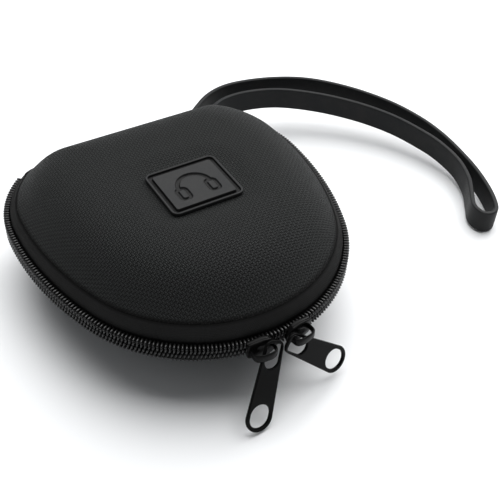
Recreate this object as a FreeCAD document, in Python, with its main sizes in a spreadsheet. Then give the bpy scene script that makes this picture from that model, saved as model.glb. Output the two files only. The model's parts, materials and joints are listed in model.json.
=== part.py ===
import FreeCAD, Part
import math
import os

import Sketcher

# Zipped semi-hard carrying case for headphones, millimetres.
# Frame: +Z up, -Y the front where the two sliders meet, +Y the hinge, origin on the
# flat underside, below the centre of the front arc of the outline.

DOC = FreeCAD.newDocument("case")
SHEET = DOC.addObject("Spreadsheet::Sheet", "Dims")

DIMENSIONS = [
    # outline of the zip chain, a chain of tangent arcs seen from above
    ("front_radius", 55.0),
    ("side_radius", 120.2),
    ("corner_radius", 41.3),
    ("hinge_corner_radius", 12.6),
    ("front_arc_angle", 68.3),
    ("side_arc_angle", 92.7),
    ("hinge_y", 61.9),
    ("scale_centre_y", 13.5),
    # heights
    ("seam_height", 24.5),
    ("crease_height", 8.0),
    ("lid_wedge_slope", -0.022),
    ("lid_rise", 15.5),
    ("base_drop", 16.5),
    # shell wall
    ("crease_inset", 4.7),
    ("fabric_thickness", 0.7),
    ("core_thickness", 3.0),
    ("lining_thickness", 0.6),
    # zip chain and tape
    ("coil_depth", 2.4),
    ("coil_top", 3.1),
    ("seam_gap", 0.35),
    ("tape_inset", 2.45),
    ("tape_thickness", 0.6),
    ("tape_straight", 4.6),
    ("tape_flange_inset", 8.9),
    ("binding_width", 3.0),
    ("binding_thickness", 0.6),
    ("binding_overhang", 0.3),
    ("flange_share", 0.9),
    ("zip_end_half_width", 45.5),
    ("hinge_zone_y", 45.0),
    ("hinge_zone_depth", 60.0),
    ("hinge_lining_thickness", 0.5),
    ("fit_gap", 0.05),
    ("weld_overlap", 0.2),
    # badge
    ("badge_width", 27.4),
    ("badge_depth", 24.2),
    ("badge_thickness", 1.2),
    ("badge_corner", 2.6),
    ("badge_y", 2.0),
    ("badge_rim", 1.7),
    ("badge_recess", 0.5),
    # sliders
    ("slider_length_angle", 11.4),
    ("slider_half_height", 4.3),
    ("slider_plate", 1.1),
    ("slider_clearance", 0.25),
    ("slider_flange", 1.0),
    ("slider_post_angle", 3.0),
    ("slider_post_thickness", 0.5),
    ("left_slider_angle", -6.4),
    ("right_slider_angle", 8.2),
    ("crown_length", 8.8),
    ("crown_leg", 1.1),
    ("crown_leg_width", 2.3),
    ("crown_roof_width", 3.4),
    ("crown_window", 4.35),
    ("crown_roof", 1.0),
    ("crown_rounding", 0.8),
    ("crown_seat_gap", 0.01),
    ("crown_seat_depth", 3.0),
    ("crown_seat_half_height", 5.0),
    # pull tabs
    ("tab_length", 31.8),
    ("tab_top_width", 7.2),
    ("tab_end_width", 10.2),
    ("tab_thickness", 1.1),
    ("tab_bar", 1.3),
    ("tab_eye_width", 5.5),
    ("tab_eye_length", 8.5),
    ("tab_bevel", 0.2),
    ("tab_corner", 2.6),
    ("tab_hole_width", 7.4),
    ("tab_hole_length", 8.4),
    ("tab_hole_rim", 1.4),
    ("tab_play", 0.15),
    # wrist strap and the bracket that holds it
    ("strap_width", 10.0),
    ("strap_thickness", 1.9),
    ("strap_level", 17.25),
    ("strap_slope_x", -0.037),
    ("strap_slope_y", 0.084),
    ("strap_pin_x", 33.5),
    ("strap_pin_y", 66.5),
    ("pin_radius", 1.3),
    ("pin_clearance", 0.3),
    ("anchor_width", 9.0),
    ("anchor_plate_y", 60.0),
    ("anchor_plate", 1.4),
    ("anchor_bottom", 9.6),
    ("anchor_top", 23.0),
    ("anchor_arm", 1.0),
    ("anchor_lip", 0.5),
    ("anchor_foot_depth", 12.0),
    ("anchor_foot_top", 15.6),
]


def fill_sheet():
    for row, (alias, number) in enumerate(DIMENSIONS, start=1):
        SHEET.set(f"A{row}", alias)
        SHEET.set(f"B{row}", str(number))
        SHEET.setAlias(f"B{row}", alias)
    DOC.recompute()


def dim(alias):
    return float(getattr(SHEET, alias))


def number_of(expression):
    """The value of an expression that names cells as Dims.alias."""
    return float(SHEET.evalExpression(expression))


def label(obj, name):
    obj.Label = name
    return obj


def slope_angle(alias):
    """The tilt in degrees of a slope held in the sheet."""
    return math.degrees(math.atan(dim(alias)))


def bind(sketch, arguments, expression):
    """Adds a dimension to a sketch and ties it to an expression."""
    index = sketch.addConstraint(Sketcher.Constraint(*arguments, number_of(expression)))
    sketch.setExpression(f"Constraints[{index}]", expression)


# ---------------------------------------------------------------- outline sketches

def outline_sketch(name, inset="0", scale="1", height="0", slope="0"):
    """The case outline, inset and scaled about the scale centre, as a bound sketch."""
    sketch = DOC.addObject("Sketcher::SketchObject", name)
    size = f"({scale})"
    front = f"((Dims.front_radius - ({inset})) * {size})"
    side = f"((Dims.side_radius - ({inset})) * {size})"
    corner = f"((Dims.corner_radius - ({inset})) * {size})"
    hinge_corner = f"((Dims.hinge_corner_radius - ({inset})) * {size})"
    centre_y = f"(Dims.scale_centre_y * (1 - {size}))"
    front_end = f"({front} * cos(Dims.front_arc_angle * 1 deg))"
    side_end = (
        f"(({side} - {front}) * cos(Dims.front_arc_angle * 1 deg)"
        f" - {side} * cos(Dims.side_arc_angle * 1 deg))"
    )
    hinge = f"((Dims.hinge_y - ({inset})) * {size})"

    r1, r2, r3, r4 = (number_of(e) for e in (front, side, corner, hinge_corner))
    base_y = number_of(centre_y)
    hinge_y = base_y + number_of(hinge)
    turn1 = math.radians(dim("front_arc_angle"))
    turn2 = math.radians(dim("side_arc_angle"))

    def along(turn):
        return FreeCAD.Vector(math.sin(turn), -math.cos(turn), 0)

    centre1 = FreeCAD.Vector(0, base_y, 0)
    centre2 = centre1 + along(turn1) * (r1 - r2)
    centre3 = centre2 + along(turn2) * (r2 - r3)
    turn3 = math.acos(-(hinge_y - r4 - centre3.y) / (r3 - r4))
    centre4 = centre3 + along(turn3) * (r3 - r4)
    quarter = math.pi / 2

    def arc(centre, radius, start, end):
        circle = Part.Circle(centre, FreeCAD.Vector(0, 0, 1), radius)
        return Part.ArcOfCircle(circle, start, end)

    def mirrored(point):
        return FreeCAD.Vector(-point.x, point.y, 0)

    top_right = FreeCAD.Vector(centre4.x, hinge_y, 0)
    sketch.addGeometry([
        arc(centre1, r1, -quarter - turn1, -quarter + turn1),
        arc(centre2, r2, -quarter + turn1, -quarter + turn2),
        arc(centre3, r3, -quarter + turn2, -quarter + turn3),
        arc(centre4, r4, -quarter + turn3, quarter),
        Part.LineSegment(top_right, mirrored(top_right)),
        arc(mirrored(centre4), r4, quarter, 3 * quarter - turn3),
        arc(mirrored(centre3), r3, 3 * quarter - turn3, 3 * quarter - turn2),
        arc(mirrored(centre2), r2, 3 * quarter - turn2, 3 * quarter - turn1),
    ], False)
    front_arc, side_r, corner_r, hinge_r, line, hinge_l, corner_l, side_l = range(8)
    for first in range(8):
        sketch.addConstraint(Sketcher.Constraint("Tangent", first, 2, (first + 1) % 8, 1))
    for pair in ((side_r, side_l), (corner_r, corner_l), (hinge_r, hinge_l)):
        sketch.addConstraint(Sketcher.Constraint("Equal", *pair))
    sketch.addConstraint(Sketcher.Constraint("Horizontal", line))
    if base_y == 0:
        sketch.addConstraint(Sketcher.Constraint("Coincident", front_arc, 3, -1, 1))
    else:
        sketch.addConstraint(Sketcher.Constraint("PointOnObject", front_arc, 3, -2))
        bind(sketch, ("DistanceY", -1, 1, front_arc, 3), centre_y)
    for element, radius in (
        (front_arc, front), (side_r, side), (corner_r, corner), (hinge_r, hinge_corner),
    ):
        bind(sketch, ("Radius", element), radius)
    for end in (1, 2):
        bind(sketch, ("DistanceY", front_arc, end, front_arc, 3), front_end)
    for element, end in ((side_r, 2), (side_l, 1)):
        bind(sketch, ("DistanceY", front_arc, 3, element, end), side_end)
    bind(sketch, ("DistanceY", front_arc, 3, line, 1), hinge)
    tilt = slope_angle("lid_wedge_slope") if "slope" in slope else 0
    sketch.Placement = FreeCAD.Placement(
        FreeCAD.Vector(0, 0, number_of(height)),
        FreeCAD.Rotation(FreeCAD.Vector(1, 0, 0), tilt),
    )
    sketch.setExpression("Placement.Base.z", height)
    return sketch


def loft(name, sections, ruled):
    """A closed solid through a list of (inset, scale, height, slope) outlines."""
    obj = DOC.addObject("Part::Loft", name)
    obj.Sections = [
        outline_sketch(f"{name}_{number}", *section)
        for number, section in enumerate(sections)
    ]
    obj.Solid = True
    obj.Ruled = ruled
    return obj


def boolean(kind, name, base, tool):
    obj = DOC.addObject(f"Part::{kind}", name)
    obj.Base = base
    obj.Tool = tool
    return obj


def box(name, length, width, height, x, y, z):
    """A box whose sizes and corner are all expressions."""
    obj = DOC.addObject("Part::Box", name)
    for prop, expression in (
        ("Length", length), ("Width", width), ("Height", height),
        ("Placement.Base.x", x), ("Placement.Base.y", y), ("Placement.Base.z", z),
    ):
        obj.setExpression(prop, expression)
    return obj


# ---------------------------------------------------------------- shells

# Section profile of a shell from its crease (1, 0) to its flat: scale, share of rise.
LID_PROFILE = [
    (1.0, 0.0), (0.95, 0.172), (0.9, 0.39), (0.8, 0.719), (0.7, 0.885), (0.62, 0.955),
    (0.54, 0.96), (0.47, 0.93),
]
BADGE_SEAT = 0.93
BASE_PROFILE = [
    (1.0, 0.0), (0.95, 0.22), (0.9, 0.45), (0.8, 0.78), (0.7, 0.93), (0.62, 0.985), (0.54, 1.0),
]
LID_CREASE = "(Dims.seam_height + Dims.crease_height)"
BASE_CREASE = "(Dims.seam_height - Dims.crease_height)"


def shell_boundary(name, profile, crease, rise, slope, depth):
    """One boundary surface of a shell wall, `depth` in from its outside, as a solid."""
    inset = f"Dims.crease_inset + {depth}"
    sections = []
    for scale, share in profile:
        height = f"{crease} + ({rise}) * {share}"
        sections.append((inset, str(scale), height, slope))
    return loft(name, sections, False)


def shell_layers(side, profile, crease, rise, sign, slope):
    """Fabric, moulded core and lining of one shell: each a boundary cut by the next."""
    depths = [
        "0",
        "Dims.fabric_thickness",
        "(Dims.fabric_thickness + Dims.core_thickness)",
        "(Dims.fabric_thickness + Dims.core_thickness + Dims.lining_thickness)",
    ]
    solids = [
        shell_boundary(
            f"{side}_boundary{number}", profile, crease,
            f"{sign} * (Dims.{rise} - {depth})", slope, depth,
        )
        for number, depth in enumerate(depths)
    ]
    layers = []
    for number, part in enumerate(("outer_fabric", "moulded_core", "lining")):
        name = f"{side}_{part}"
        layer = boolean("Cut", name, solids[number], solids[number + 1])
        layers.append(label(layer, name))
    return layers


# ---------------------------------------------------------------- zip tape, coil, binding

def hinge_zone(name, margin="0"):
    """The block behind the chain ends, where the fabric hinge is."""
    return box(
        name,
        f"2 * (Dims.zip_end_half_width + {margin})", "Dims.hinge_zone_depth",
        "Dims.seam_height * 2",
        f"-Dims.zip_end_half_width - {margin}", f"Dims.hinge_zone_y - {margin}", "0",
    )


def tape_path(side, thickness_in):
    """Outline rings that one face of a tape follows from the seam to its crease."""
    sign = "1" if side == "upper" else "-1"
    slope = "Dims.lid_wedge_slope" if side == "upper" else "0"
    crease = LID_CREASE if side == "upper" else BASE_CREASE
    seam = "Dims.seam_height"
    shift = "Dims.tape_thickness" if thickness_in else "0"
    rings = [
        (f"Dims.tape_inset + {shift}", "1", f"{seam} + {sign} * Dims.seam_gap", "0"),
        (f"Dims.tape_inset + {shift}", "1", f"{seam} + {sign} * Dims.tape_straight", "0"),
        (
            f"Dims.crease_inset + {shift}", "1",
            f"{crease} - {sign} * (Dims.tape_thickness + Dims.fit_gap)", slope,
        ),
    ]
    if thickness_in:
        rings.append((
            "Dims.tape_flange_inset", "1",
            f"{crease} - {sign} * (Dims.tape_thickness * Dims.flange_share + Dims.fit_gap)",
            slope,
        ))
    end_inset = "Dims.tape_flange_inset" if thickness_in else "Dims.crease_inset"
    rings.append((end_inset, "1", f"{crease} - {sign} * Dims.fit_gap", slope))
    return rings


def zip_tape(side):
    name = f"{side}_zip_tape"
    outer = loft(f"{name}_outside", tape_path(side, False), True)
    inner = loft(f"{name}_inside", tape_path(side, True), True)
    ring = boolean("Cut", f"{name}_ring", outer, inner)
    cut = boolean("Cut", name, ring, hinge_zone(f"{name}_gap", "Dims.fit_gap"))
    return label(cut, name)


def zip_coil(side):
    """One row of the nylon coil, as a plain band of its outer size."""
    name = f"{side}_zip_coil"
    sign = "1" if side == "upper" else "-1"
    rows = []
    for face, inset in (("outside", "0"), ("inside", "Dims.coil_depth")):
        rings = [
            (inset, "1", f"Dims.seam_height + {sign} * Dims.{edge}", "0")
            for edge in ("seam_gap", "coil_top")
        ]
        rows.append(loft(f"{name}_{face}", rings, True))
    ring = boolean("Cut", f"{name}_ring", *rows)
    cut = boolean("Cut", name, ring, hinge_zone(f"{name}_gap", "Dims.fit_gap"))
    return label(cut, name)


def inner_binding(side):
    """Flat ribbon sewn over the raw edge of the tape inside the case."""
    name = f"{side}_inner_binding"
    sign = "1" if side == "upper" else "-1"
    slope = "Dims.lid_wedge_slope" if side == "upper" else "0"
    crease = LID_CREASE if side == "upper" else BASE_CREASE
    top = "(Dims.tape_thickness + 2 * Dims.fit_gap)"
    faces = []
    for face, inset in (
        ("outside", "Dims.tape_flange_inset + Dims.binding_overhang - Dims.binding_width"),
        ("inside", "Dims.tape_flange_inset + Dims.binding_overhang"),
    ):
        rings = [
            (inset, "1", f"{crease} - {sign} * ({top} + {extra})", slope)
            for extra in ("Dims.binding_thickness", "0")
        ]
        faces.append(loft(f"{name}_{face}", rings, True))
    return label(boolean("Cut", name, *faces), name)


# ---------------------------------------------------------------- fabric hinge

def hinge_fabric(name, inset, thickness):
    """The band that joins the two shells behind the chain ends, crease to crease."""
    def rings(shift):
        level = f"({inset}) + {shift}"
        low = f"{BASE_CREASE} + Dims.fit_gap"
        high = f"{LID_CREASE} - Dims.fit_gap"
        return [
            (f"Dims.crease_inset - Dims.tape_inset + {level}", "1", low, "0"),
            (level, "1", "Dims.seam_height - Dims.tape_straight", "0"),
            (level, "1", "Dims.seam_height + Dims.tape_straight", "0"),
            (
                f"Dims.crease_inset - Dims.tape_inset + {level}", "1", high,
                "Dims.lid_wedge_slope",
            ),
        ]
    outer = loft(f"{name}_outside", rings("0"), True)
    inner = loft(f"{name}_inside", rings(thickness), True)
    ring = boolean("Cut", f"{name}_ring", outer, inner)
    return label(boolean("Common", name, ring, hinge_zone(f"{name}_zone")), name)


# ---------------------------------------------------------------- PartDesign helpers

def body(name):
    return label(DOC.addObject("PartDesign::Body", name), name)


def plane_sketch(owner, name, role):
    sketch = owner.newObject("Sketcher::SketchObject", name)
    plane = [f for f in owner.Origin.OriginFeatures if f.Role == role][0]
    sketch.AttachmentSupport = [(plane, "")]
    sketch.MapMode = "FlatFace"
    return sketch


def rectangle(sketch, x_low, x_high, y_low, y_high):
    """A rectangle whose four edge distances are bound; each side is an expression."""
    xs = [number_of(x_low), number_of(x_high)]
    ys = [number_of(y_low), number_of(y_high)]
    corners = [
        FreeCAD.Vector(xs[0], ys[0], 0), FreeCAD.Vector(xs[1], ys[0], 0),
        FreeCAD.Vector(xs[1], ys[1], 0), FreeCAD.Vector(xs[0], ys[1], 0),
    ]
    start = sketch.GeometryCount
    for number in range(4):
        sketch.addGeometry(Part.LineSegment(corners[number], corners[(number + 1) % 4]))
    for number in range(4):
        following = start + (number + 1) % 4
        sketch.addConstraint(Sketcher.Constraint("Coincident", start + number, 2, following, 1))
        kind = "Horizontal" if number % 2 == 0 else "Vertical"
        sketch.addConstraint(Sketcher.Constraint(kind, start + number))
    for element, across, upward in ((start, x_low, y_low), (start + 2, x_high, y_high)):
        bind(sketch, ("DistanceX", -1, 1, element, 1), across)
        bind(sketch, ("DistanceY", -1, 1, element, 1), upward)


def feature(owner, kind, name, sketch):
    obj = owner.newObject(f"PartDesign::{kind}", name)
    obj.Profile = sketch
    sketch.Visibility = False
    return obj


def dress_up(owner, kind, name, edges):
    """A fillet or chamfer on edges of the body's latest feature."""
    base = owner.Tip
    obj = owner.newObject(f"PartDesign::{kind}", name)
    obj.Base = (base, edges)
    return obj


# ---------------------------------------------------------------- badge

def rounded_rectangle(owner, name, width, depth, corner):
    """A centred rectangle with equal round corners, every size an expression."""
    sketch = plane_sketch(owner, name, "XY_Plane")
    half_x, half_y = number_of(f"{width} / 2"), number_of(f"{depth} / 2")
    radius = number_of(corner)
    quarter = math.pi / 2
    centres = [
        FreeCAD.Vector(half_x - radius, half_y - radius, 0),
        FreeCAD.Vector(radius - half_x, half_y - radius, 0),
        FreeCAD.Vector(radius - half_x, radius - half_y, 0),
        FreeCAD.Vector(half_x - radius, radius - half_y, 0),
    ]
    ends = []
    for number, centre in enumerate(centres):
        circle = Part.Circle(centre, FreeCAD.Vector(0, 0, 1), radius)
        sketch.addGeometry(Part.ArcOfCircle(circle, number * quarter, (number + 1) * quarter))
        for turn in (number, number + 1):
            offset = FreeCAD.Vector(math.cos(turn * quarter), math.sin(turn * quarter), 0)
            ends.append(centre + offset * radius)
    for number in range(4):
        side = Part.LineSegment(ends[2 * number + 1], ends[(2 * number + 2) % 8])
        sketch.addGeometry(side)
    for number in range(4):
        line = 4 + number
        sketch.addConstraint(Sketcher.Constraint("Tangent", number, 2, line, 1))
        sketch.addConstraint(Sketcher.Constraint("Tangent", line, 2, (number + 1) % 4, 1))
    for number in range(1, 4):
        sketch.addConstraint(Sketcher.Constraint("Equal", 0, number))
    sketch.addConstraint(Sketcher.Constraint("Horizontal", 4))
    sketch.addConstraint(Sketcher.Constraint("Vertical", 5))
    sketch.addConstraint(Sketcher.Constraint("Symmetric", 0, 3, 2, 3, -1, 1))
    bind(sketch, ("Radius", 0), corner)
    bind(sketch, ("DistanceX", 1, 3, 0, 3), f"{width} - 2 * ({corner})")
    bind(sketch, ("DistanceY", 3, 3, 0, 3), f"{depth} - 2 * ({corner})")
    return sketch


def badge():
    """Moulded badge: a rounded plate with a raised rim, seated in the lid's flat."""
    owner = body("badge")
    outline = rounded_rectangle(
        owner, "badge_outline", "Dims.badge_width", "Dims.badge_depth", "Dims.badge_corner")
    plate = feature(owner, "Pad", "badge_plate", outline)
    plate.setExpression("Length", "Dims.badge_thickness")
    DOC.recompute()
    field_outline = rounded_rectangle(
        owner, "badge_field_outline",
        "(Dims.badge_width - 2 * Dims.badge_rim)",
        "(Dims.badge_depth - 2 * Dims.badge_rim)",
        "(Dims.badge_corner - Dims.badge_rim / 2)")
    field_outline.setExpression("AttachmentOffset.Base.z", "Dims.badge_thickness")
    field = feature(owner, "Pocket", "badge_field", field_outline)
    field.setExpression("Length", "Dims.badge_recess")
    owner.setExpression("Placement.Base.y", "Dims.badge_y")
    owner.setExpression(
        "Placement.Base.z",
        f"{LID_CREASE} + Dims.lid_rise * {BADGE_SEAT}"
        " + Dims.badge_y * Dims.lid_wedge_slope + Dims.fit_gap",
    )
    tilt = slope_angle("lid_wedge_slope")
    owner.Placement.Rotation = FreeCAD.Rotation(FreeCAD.Vector(1, 0, 0), tilt)
    return owner


# ---------------------------------------------------------------- sliders

CHAIN = "Dims.front_radius"
PLATE_IN = f"({CHAIN} + Dims.slider_clearance)"
PLATE_OUT = f"({PLATE_IN} + Dims.slider_plate)"
TAPE_OUT = f"({CHAIN} - Dims.tape_inset)"
TAPE_IN = f"({TAPE_OUT} - Dims.tape_thickness)"
BACK_OUT = f"({TAPE_IN} - Dims.slider_clearance)"
BACK_IN = f"({BACK_OUT} - Dims.slider_flange)"
FLANGE_IN = f"({TAPE_OUT} + Dims.slider_clearance)"
FLANGE_LOW = "(Dims.coil_top + Dims.slider_clearance)"


def ring_piece(owner, name, radius_in, radius_out, low, high, angle):
    """A piece of a ring about the Z axis: one rectangle of the slider's section."""
    sketch = plane_sketch(owner, f"{name}_section", "XZ_Plane")
    rectangle(sketch, radius_in, radius_out, low, high)
    piece = feature(owner, "Revolution", name, sketch)
    piece.ReferenceAxis = (sketch, ["V_Axis"])
    piece.Midplane = True
    piece.setExpression("Angle", angle)
    DOC.recompute()


def place_on_chain(owner, angle):
    """Turns a piece built at +X to its place on the front arc, at seam height."""
    owner.Placement.Rotation = FreeCAD.Rotation(FreeCAD.Vector(0, 0, 1), dim(angle) - 90)
    owner.setExpression("Placement.Base.z", "Dims.seam_height")


def slider_body(side):
    """Die-cast slider: outer and inner plates joined by a post, with coil flanges."""
    name = f"slider_body_{side}"
    owner = body(name)
    whole = "Dims.slider_length_angle"
    half = "Dims.slider_half_height"
    post = "Dims.slider_post_thickness / 2"
    ring_piece(owner, f"{name}_front", PLATE_IN, PLATE_OUT, f"-{half}", half, whole)
    ring_piece(owner, f"{name}_back", BACK_IN, BACK_OUT, f"-{half}", half, whole)
    ring_piece(
        owner, f"{name}_post", f"{BACK_OUT} - Dims.weld_overlap / 2",
        f"{PLATE_IN} + Dims.weld_overlap / 2", f"-{post}", post, "Dims.slider_post_angle")
    ring_piece(owner, f"{name}_upper", FLANGE_IN, PLATE_OUT, FLANGE_LOW, half, whole)
    ring_piece(
        owner, f"{name}_lower", FLANGE_IN, PLATE_OUT, f"-{half}", f"-{FLANGE_LOW}", whole)
    place_on_chain(owner, f"{side}_slider_angle")
    return owner


def slider_crown(side):
    """Bridge on the slider's face: two legs and a roof that keep the pull tab's eye."""
    name = f"slider_crown_{side}"
    owner = body(name)
    roof_low = f"({PLATE_OUT} + Dims.crown_window)"
    roof_high = f"({roof_low} + Dims.crown_roof)"
    half = "Dims.crown_length / 2"
    legs = plane_sketch(owner, f"{name}_leg_outline", "XY_Plane")
    leg_low = f"{PLATE_OUT} - 2 * Dims.weld_overlap"
    leg_high = f"{roof_low} + Dims.weld_overlap"
    rectangle(legs, leg_low, leg_high, f"-{half}", f"-{half} + Dims.crown_leg")
    rectangle(legs, leg_low, leg_high, f"{half} - Dims.crown_leg", half)
    roof = plane_sketch(owner, f"{name}_roof_outline", "XY_Plane")
    rectangle(roof, roof_low, roof_high, f"-{half}", half)
    for part, sketch, width in (
        ("roof", roof, "Dims.crown_roof_width"), ("legs", legs, "Dims.crown_leg_width"),
    ):
        pad = feature(owner, "Pad", f"{name}_{part}", sketch)
        pad.Midplane = True
        pad.setExpression("Length", width)
        DOC.recompute()
    outer = number_of(roof_high)
    corners = [
        f"Edge{number}" for number, edge in enumerate(owner.Shape.Edges, start=1)
        if all(abs(vertex.X - outer) < 0.01 for vertex in edge.Vertexes)
        and edge.BoundBox.YLength < 0.01
    ]
    rounding = dress_up(owner, "Fillet", f"{name}_rounding", corners)
    rounding.setExpression("Radius", "Dims.crown_rounding")
    DOC.recompute()
    seat = plane_sketch(owner, f"{name}_seat", "XZ_Plane")
    rectangle(
        seat, f"{PLATE_OUT} - Dims.crown_seat_depth", f"{PLATE_OUT} + Dims.crown_seat_gap",
        "-Dims.crown_seat_half_height", "Dims.crown_seat_half_height")
    foot = feature(owner, "Groove", f"{name}_foot", seat)
    foot.ReferenceAxis = (seat, ["V_Axis"])
    foot.Angle = 360
    place_on_chain(owner, f"{side}_slider_angle")
    return owner


# ---------------------------------------------------------------- pull tabs

def tab_outline(owner, name):
    """Tapered plate with a round end: origin at the centre of the round end."""
    sketch = plane_sketch(owner, name, "XY_Plane")
    radius = number_of("Dims.tab_end_width / 2")
    top = number_of("Dims.tab_length - Dims.tab_end_width / 2")
    half = number_of("Dims.tab_top_width / 2")
    lean = math.asin((radius - half) / math.hypot(top, radius - half))
    right = FreeCAD.Vector(radius * math.cos(lean), radius * math.sin(lean), 0)
    left = FreeCAD.Vector(-right.x, right.y, 0)
    circle = Part.Circle(FreeCAD.Vector(0, 0, 0), FreeCAD.Vector(0, 0, 1), radius)
    sketch.addGeometry([
        Part.ArcOfCircle(circle, math.pi - lean, 2 * math.pi + lean),
        Part.LineSegment(right, FreeCAD.Vector(half, top, 0)),
        Part.LineSegment(FreeCAD.Vector(half, top, 0), FreeCAD.Vector(-half, top, 0)),
        Part.LineSegment(FreeCAD.Vector(-half, top, 0), left),
    ], False)
    sketch.addConstraint(Sketcher.Constraint("Tangent", 0, 2, 1, 1))
    sketch.addConstraint(Sketcher.Constraint("Coincident", 1, 2, 2, 1))
    sketch.addConstraint(Sketcher.Constraint("Coincident", 2, 2, 3, 1))
    sketch.addConstraint(Sketcher.Constraint("Tangent", 3, 2, 0, 1))
    sketch.addConstraint(Sketcher.Constraint("Coincident", 0, 3, -1, 1))
    sketch.addConstraint(Sketcher.Constraint("Symmetric", 2, 1, 2, 2, -2))
    bind(sketch, ("Radius", 0), "Dims.tab_end_width / 2")
    bind(sketch, ("DistanceX", 2, 2, 2, 1), "Dims.tab_top_width")
    bind(sketch, ("DistanceY", 0, 3, 1, 2), "Dims.tab_length - Dims.tab_end_width / 2")
    return sketch


def stadium(owner, name, width, low, high, square_top):
    """A slot along Y with round ends; the upper end may be square instead."""
    sketch = plane_sketch(owner, name, "XY_Plane")
    radius = number_of(f"{width} / 2")
    lower = number_of(f"{low} + {width} / 2")
    upper = number_of(high if square_top else f"{high} - {width} / 2")

    def arc(y, start, end):
        circle = Part.Circle(FreeCAD.Vector(0, y, 0), FreeCAD.Vector(0, 0, 1), radius)
        return Part.ArcOfCircle(circle, start, end)

    corner = FreeCAD.Vector(radius, upper, 0)
    mirror = FreeCAD.Vector(-radius, upper, 0)
    sketch.addGeometry([
        arc(lower, math.pi, 2 * math.pi),
        Part.LineSegment(FreeCAD.Vector(radius, lower, 0), corner),
        Part.LineSegment(corner, mirror) if square_top else arc(upper, 0, math.pi),
        Part.LineSegment(mirror, FreeCAD.Vector(-radius, lower, 0)),
    ], False)
    join = "Coincident" if square_top else "Tangent"
    sketch.addConstraint(Sketcher.Constraint("Tangent", 0, 2, 1, 1))
    sketch.addConstraint(Sketcher.Constraint(join, 1, 2, 2, 1))
    sketch.addConstraint(Sketcher.Constraint(join, 2, 2, 3, 1))
    sketch.addConstraint(Sketcher.Constraint("Tangent", 3, 2, 0, 1))
    sketch.addConstraint(Sketcher.Constraint("PointOnObject", 0, 3, -2))
    sketch.addConstraint(Sketcher.Constraint("Vertical", 1))
    bind(sketch, ("Radius", 0), f"{width} / 2")
    bind(sketch, ("DistanceY", -1, 1, 0, 3), f"{low} + {width} / 2")
    if square_top:
        sketch.addConstraint(Sketcher.Constraint("Horizontal", 2))
        bind(sketch, ("DistanceY", -1, 1, 1, 2), high)
    else:
        bind(sketch, ("DistanceY", -1, 1, 2, 3), f"{high} - {width} / 2")
    return sketch


def pull_tab(side, placement):
    """Long zip pull: an eye for the crown's leg at the top, an oval hole at the end."""
    name = f"pull_tab_{side}"
    owner = body(name)
    plate = feature(owner, "Pad", f"{name}_plate", tab_outline(owner, f"{name}_outline"))
    plate.Midplane = True
    plate.setExpression("Length", "Dims.tab_thickness")
    DOC.recompute()
    bottom = "-Dims.tab_end_width / 2 + Dims.tab_hole_rim"
    top = "Dims.tab_length - Dims.tab_end_width / 2 - Dims.tab_bar"
    openings = (
        ("hole", stadium(
            owner, f"{name}_hole_outline", "Dims.tab_hole_width",
            bottom, f"{bottom} + Dims.tab_hole_length", False)),
        ("eye", stadium(
            owner, f"{name}_eye_outline", "Dims.tab_eye_width",
            f"{top} - Dims.tab_eye_length", top, True)),
    )
    for part, sketch in openings:
        cut = feature(owner, "Pocket", f"{name}_{part}", sketch)
        cut.Midplane = True
        cut.setExpression("Length", "Dims.tab_thickness * 2")
        DOC.recompute()
    highest = number_of(f"{top} + Dims.tab_bar")
    corners = [
        f"Edge{number}" for number, edge in enumerate(owner.Shape.Edges, start=1)
        if all(abs(vertex.Y - highest) < 0.001 for vertex in edge.Vertexes)
        and edge.BoundBox.XLength < 0.001
    ]
    rounding = dress_up(owner, "Fillet", f"{name}_corners", corners)
    rounding.setExpression("Radius", "Dims.tab_corner")
    DOC.recompute()
    half = dim("tab_thickness") / 2
    rims = [
        f"Edge{number}" for number, edge in enumerate(owner.Shape.Edges, start=1)
        if all(abs(abs(vertex.Z) - half) < 0.001 for vertex in edge.Vertexes)
        and abs(edge.BoundBox.ZLength) < 0.001
    ]
    bevel = dress_up(owner, "Chamfer", f"{name}_bevel", rims)
    bevel.setExpression("Size", "Dims.tab_bevel")
    owner.Placement = placement
    return owner


def tab_placement(slider_angle, leg_side, along_pull, across, leg_x, leg_y):
    """Where a pull tab lies: directions are (along the chain, outward, up)."""
    turn = math.radians(dim(slider_angle))
    outward = FreeCAD.Vector(math.sin(turn), -math.cos(turn), 0)
    sideways = FreeCAD.Vector(math.cos(turn), math.sin(turn), 0)
    up = FreeCAD.Vector(0, 0, 1)

    def world(direction):
        return sideways * direction[0] + outward * direction[1] + up * direction[2]

    y_axis = world(along_pull) * -1
    y_axis.normalize()
    x_axis = world(across)
    x_axis = x_axis - y_axis * x_axis.dot(y_axis)
    x_axis.normalize()
    z_axis = x_axis.cross(y_axis)
    radius = number_of(PLATE_OUT) + dim("crown_window") / 2 - dim("tab_play")
    leg_offset = (dim("crown_length") - dim("crown_leg")) / 2
    leg = outward * radius + sideways * leg_side * leg_offset + up * dim("seam_height")
    origin = leg - x_axis * leg_x - y_axis * leg_y
    return FreeCAD.Placement(origin, FreeCAD.Rotation(x_axis, y_axis, z_axis, "XYZ")), leg


LEFT_TAB = ("left_slider_angle", 1, (-0.37, 0.42, -0.829), (0.90, 0.02, -0.43), 0.9, 23.4)
RIGHT_TAB = ("right_slider_angle", -1, (0.705, 0.179, -0.686), (0.709, -0.224, 0.669), 0.9, 23.5)


# ---------------------------------------------------------------- wrist strap

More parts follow.
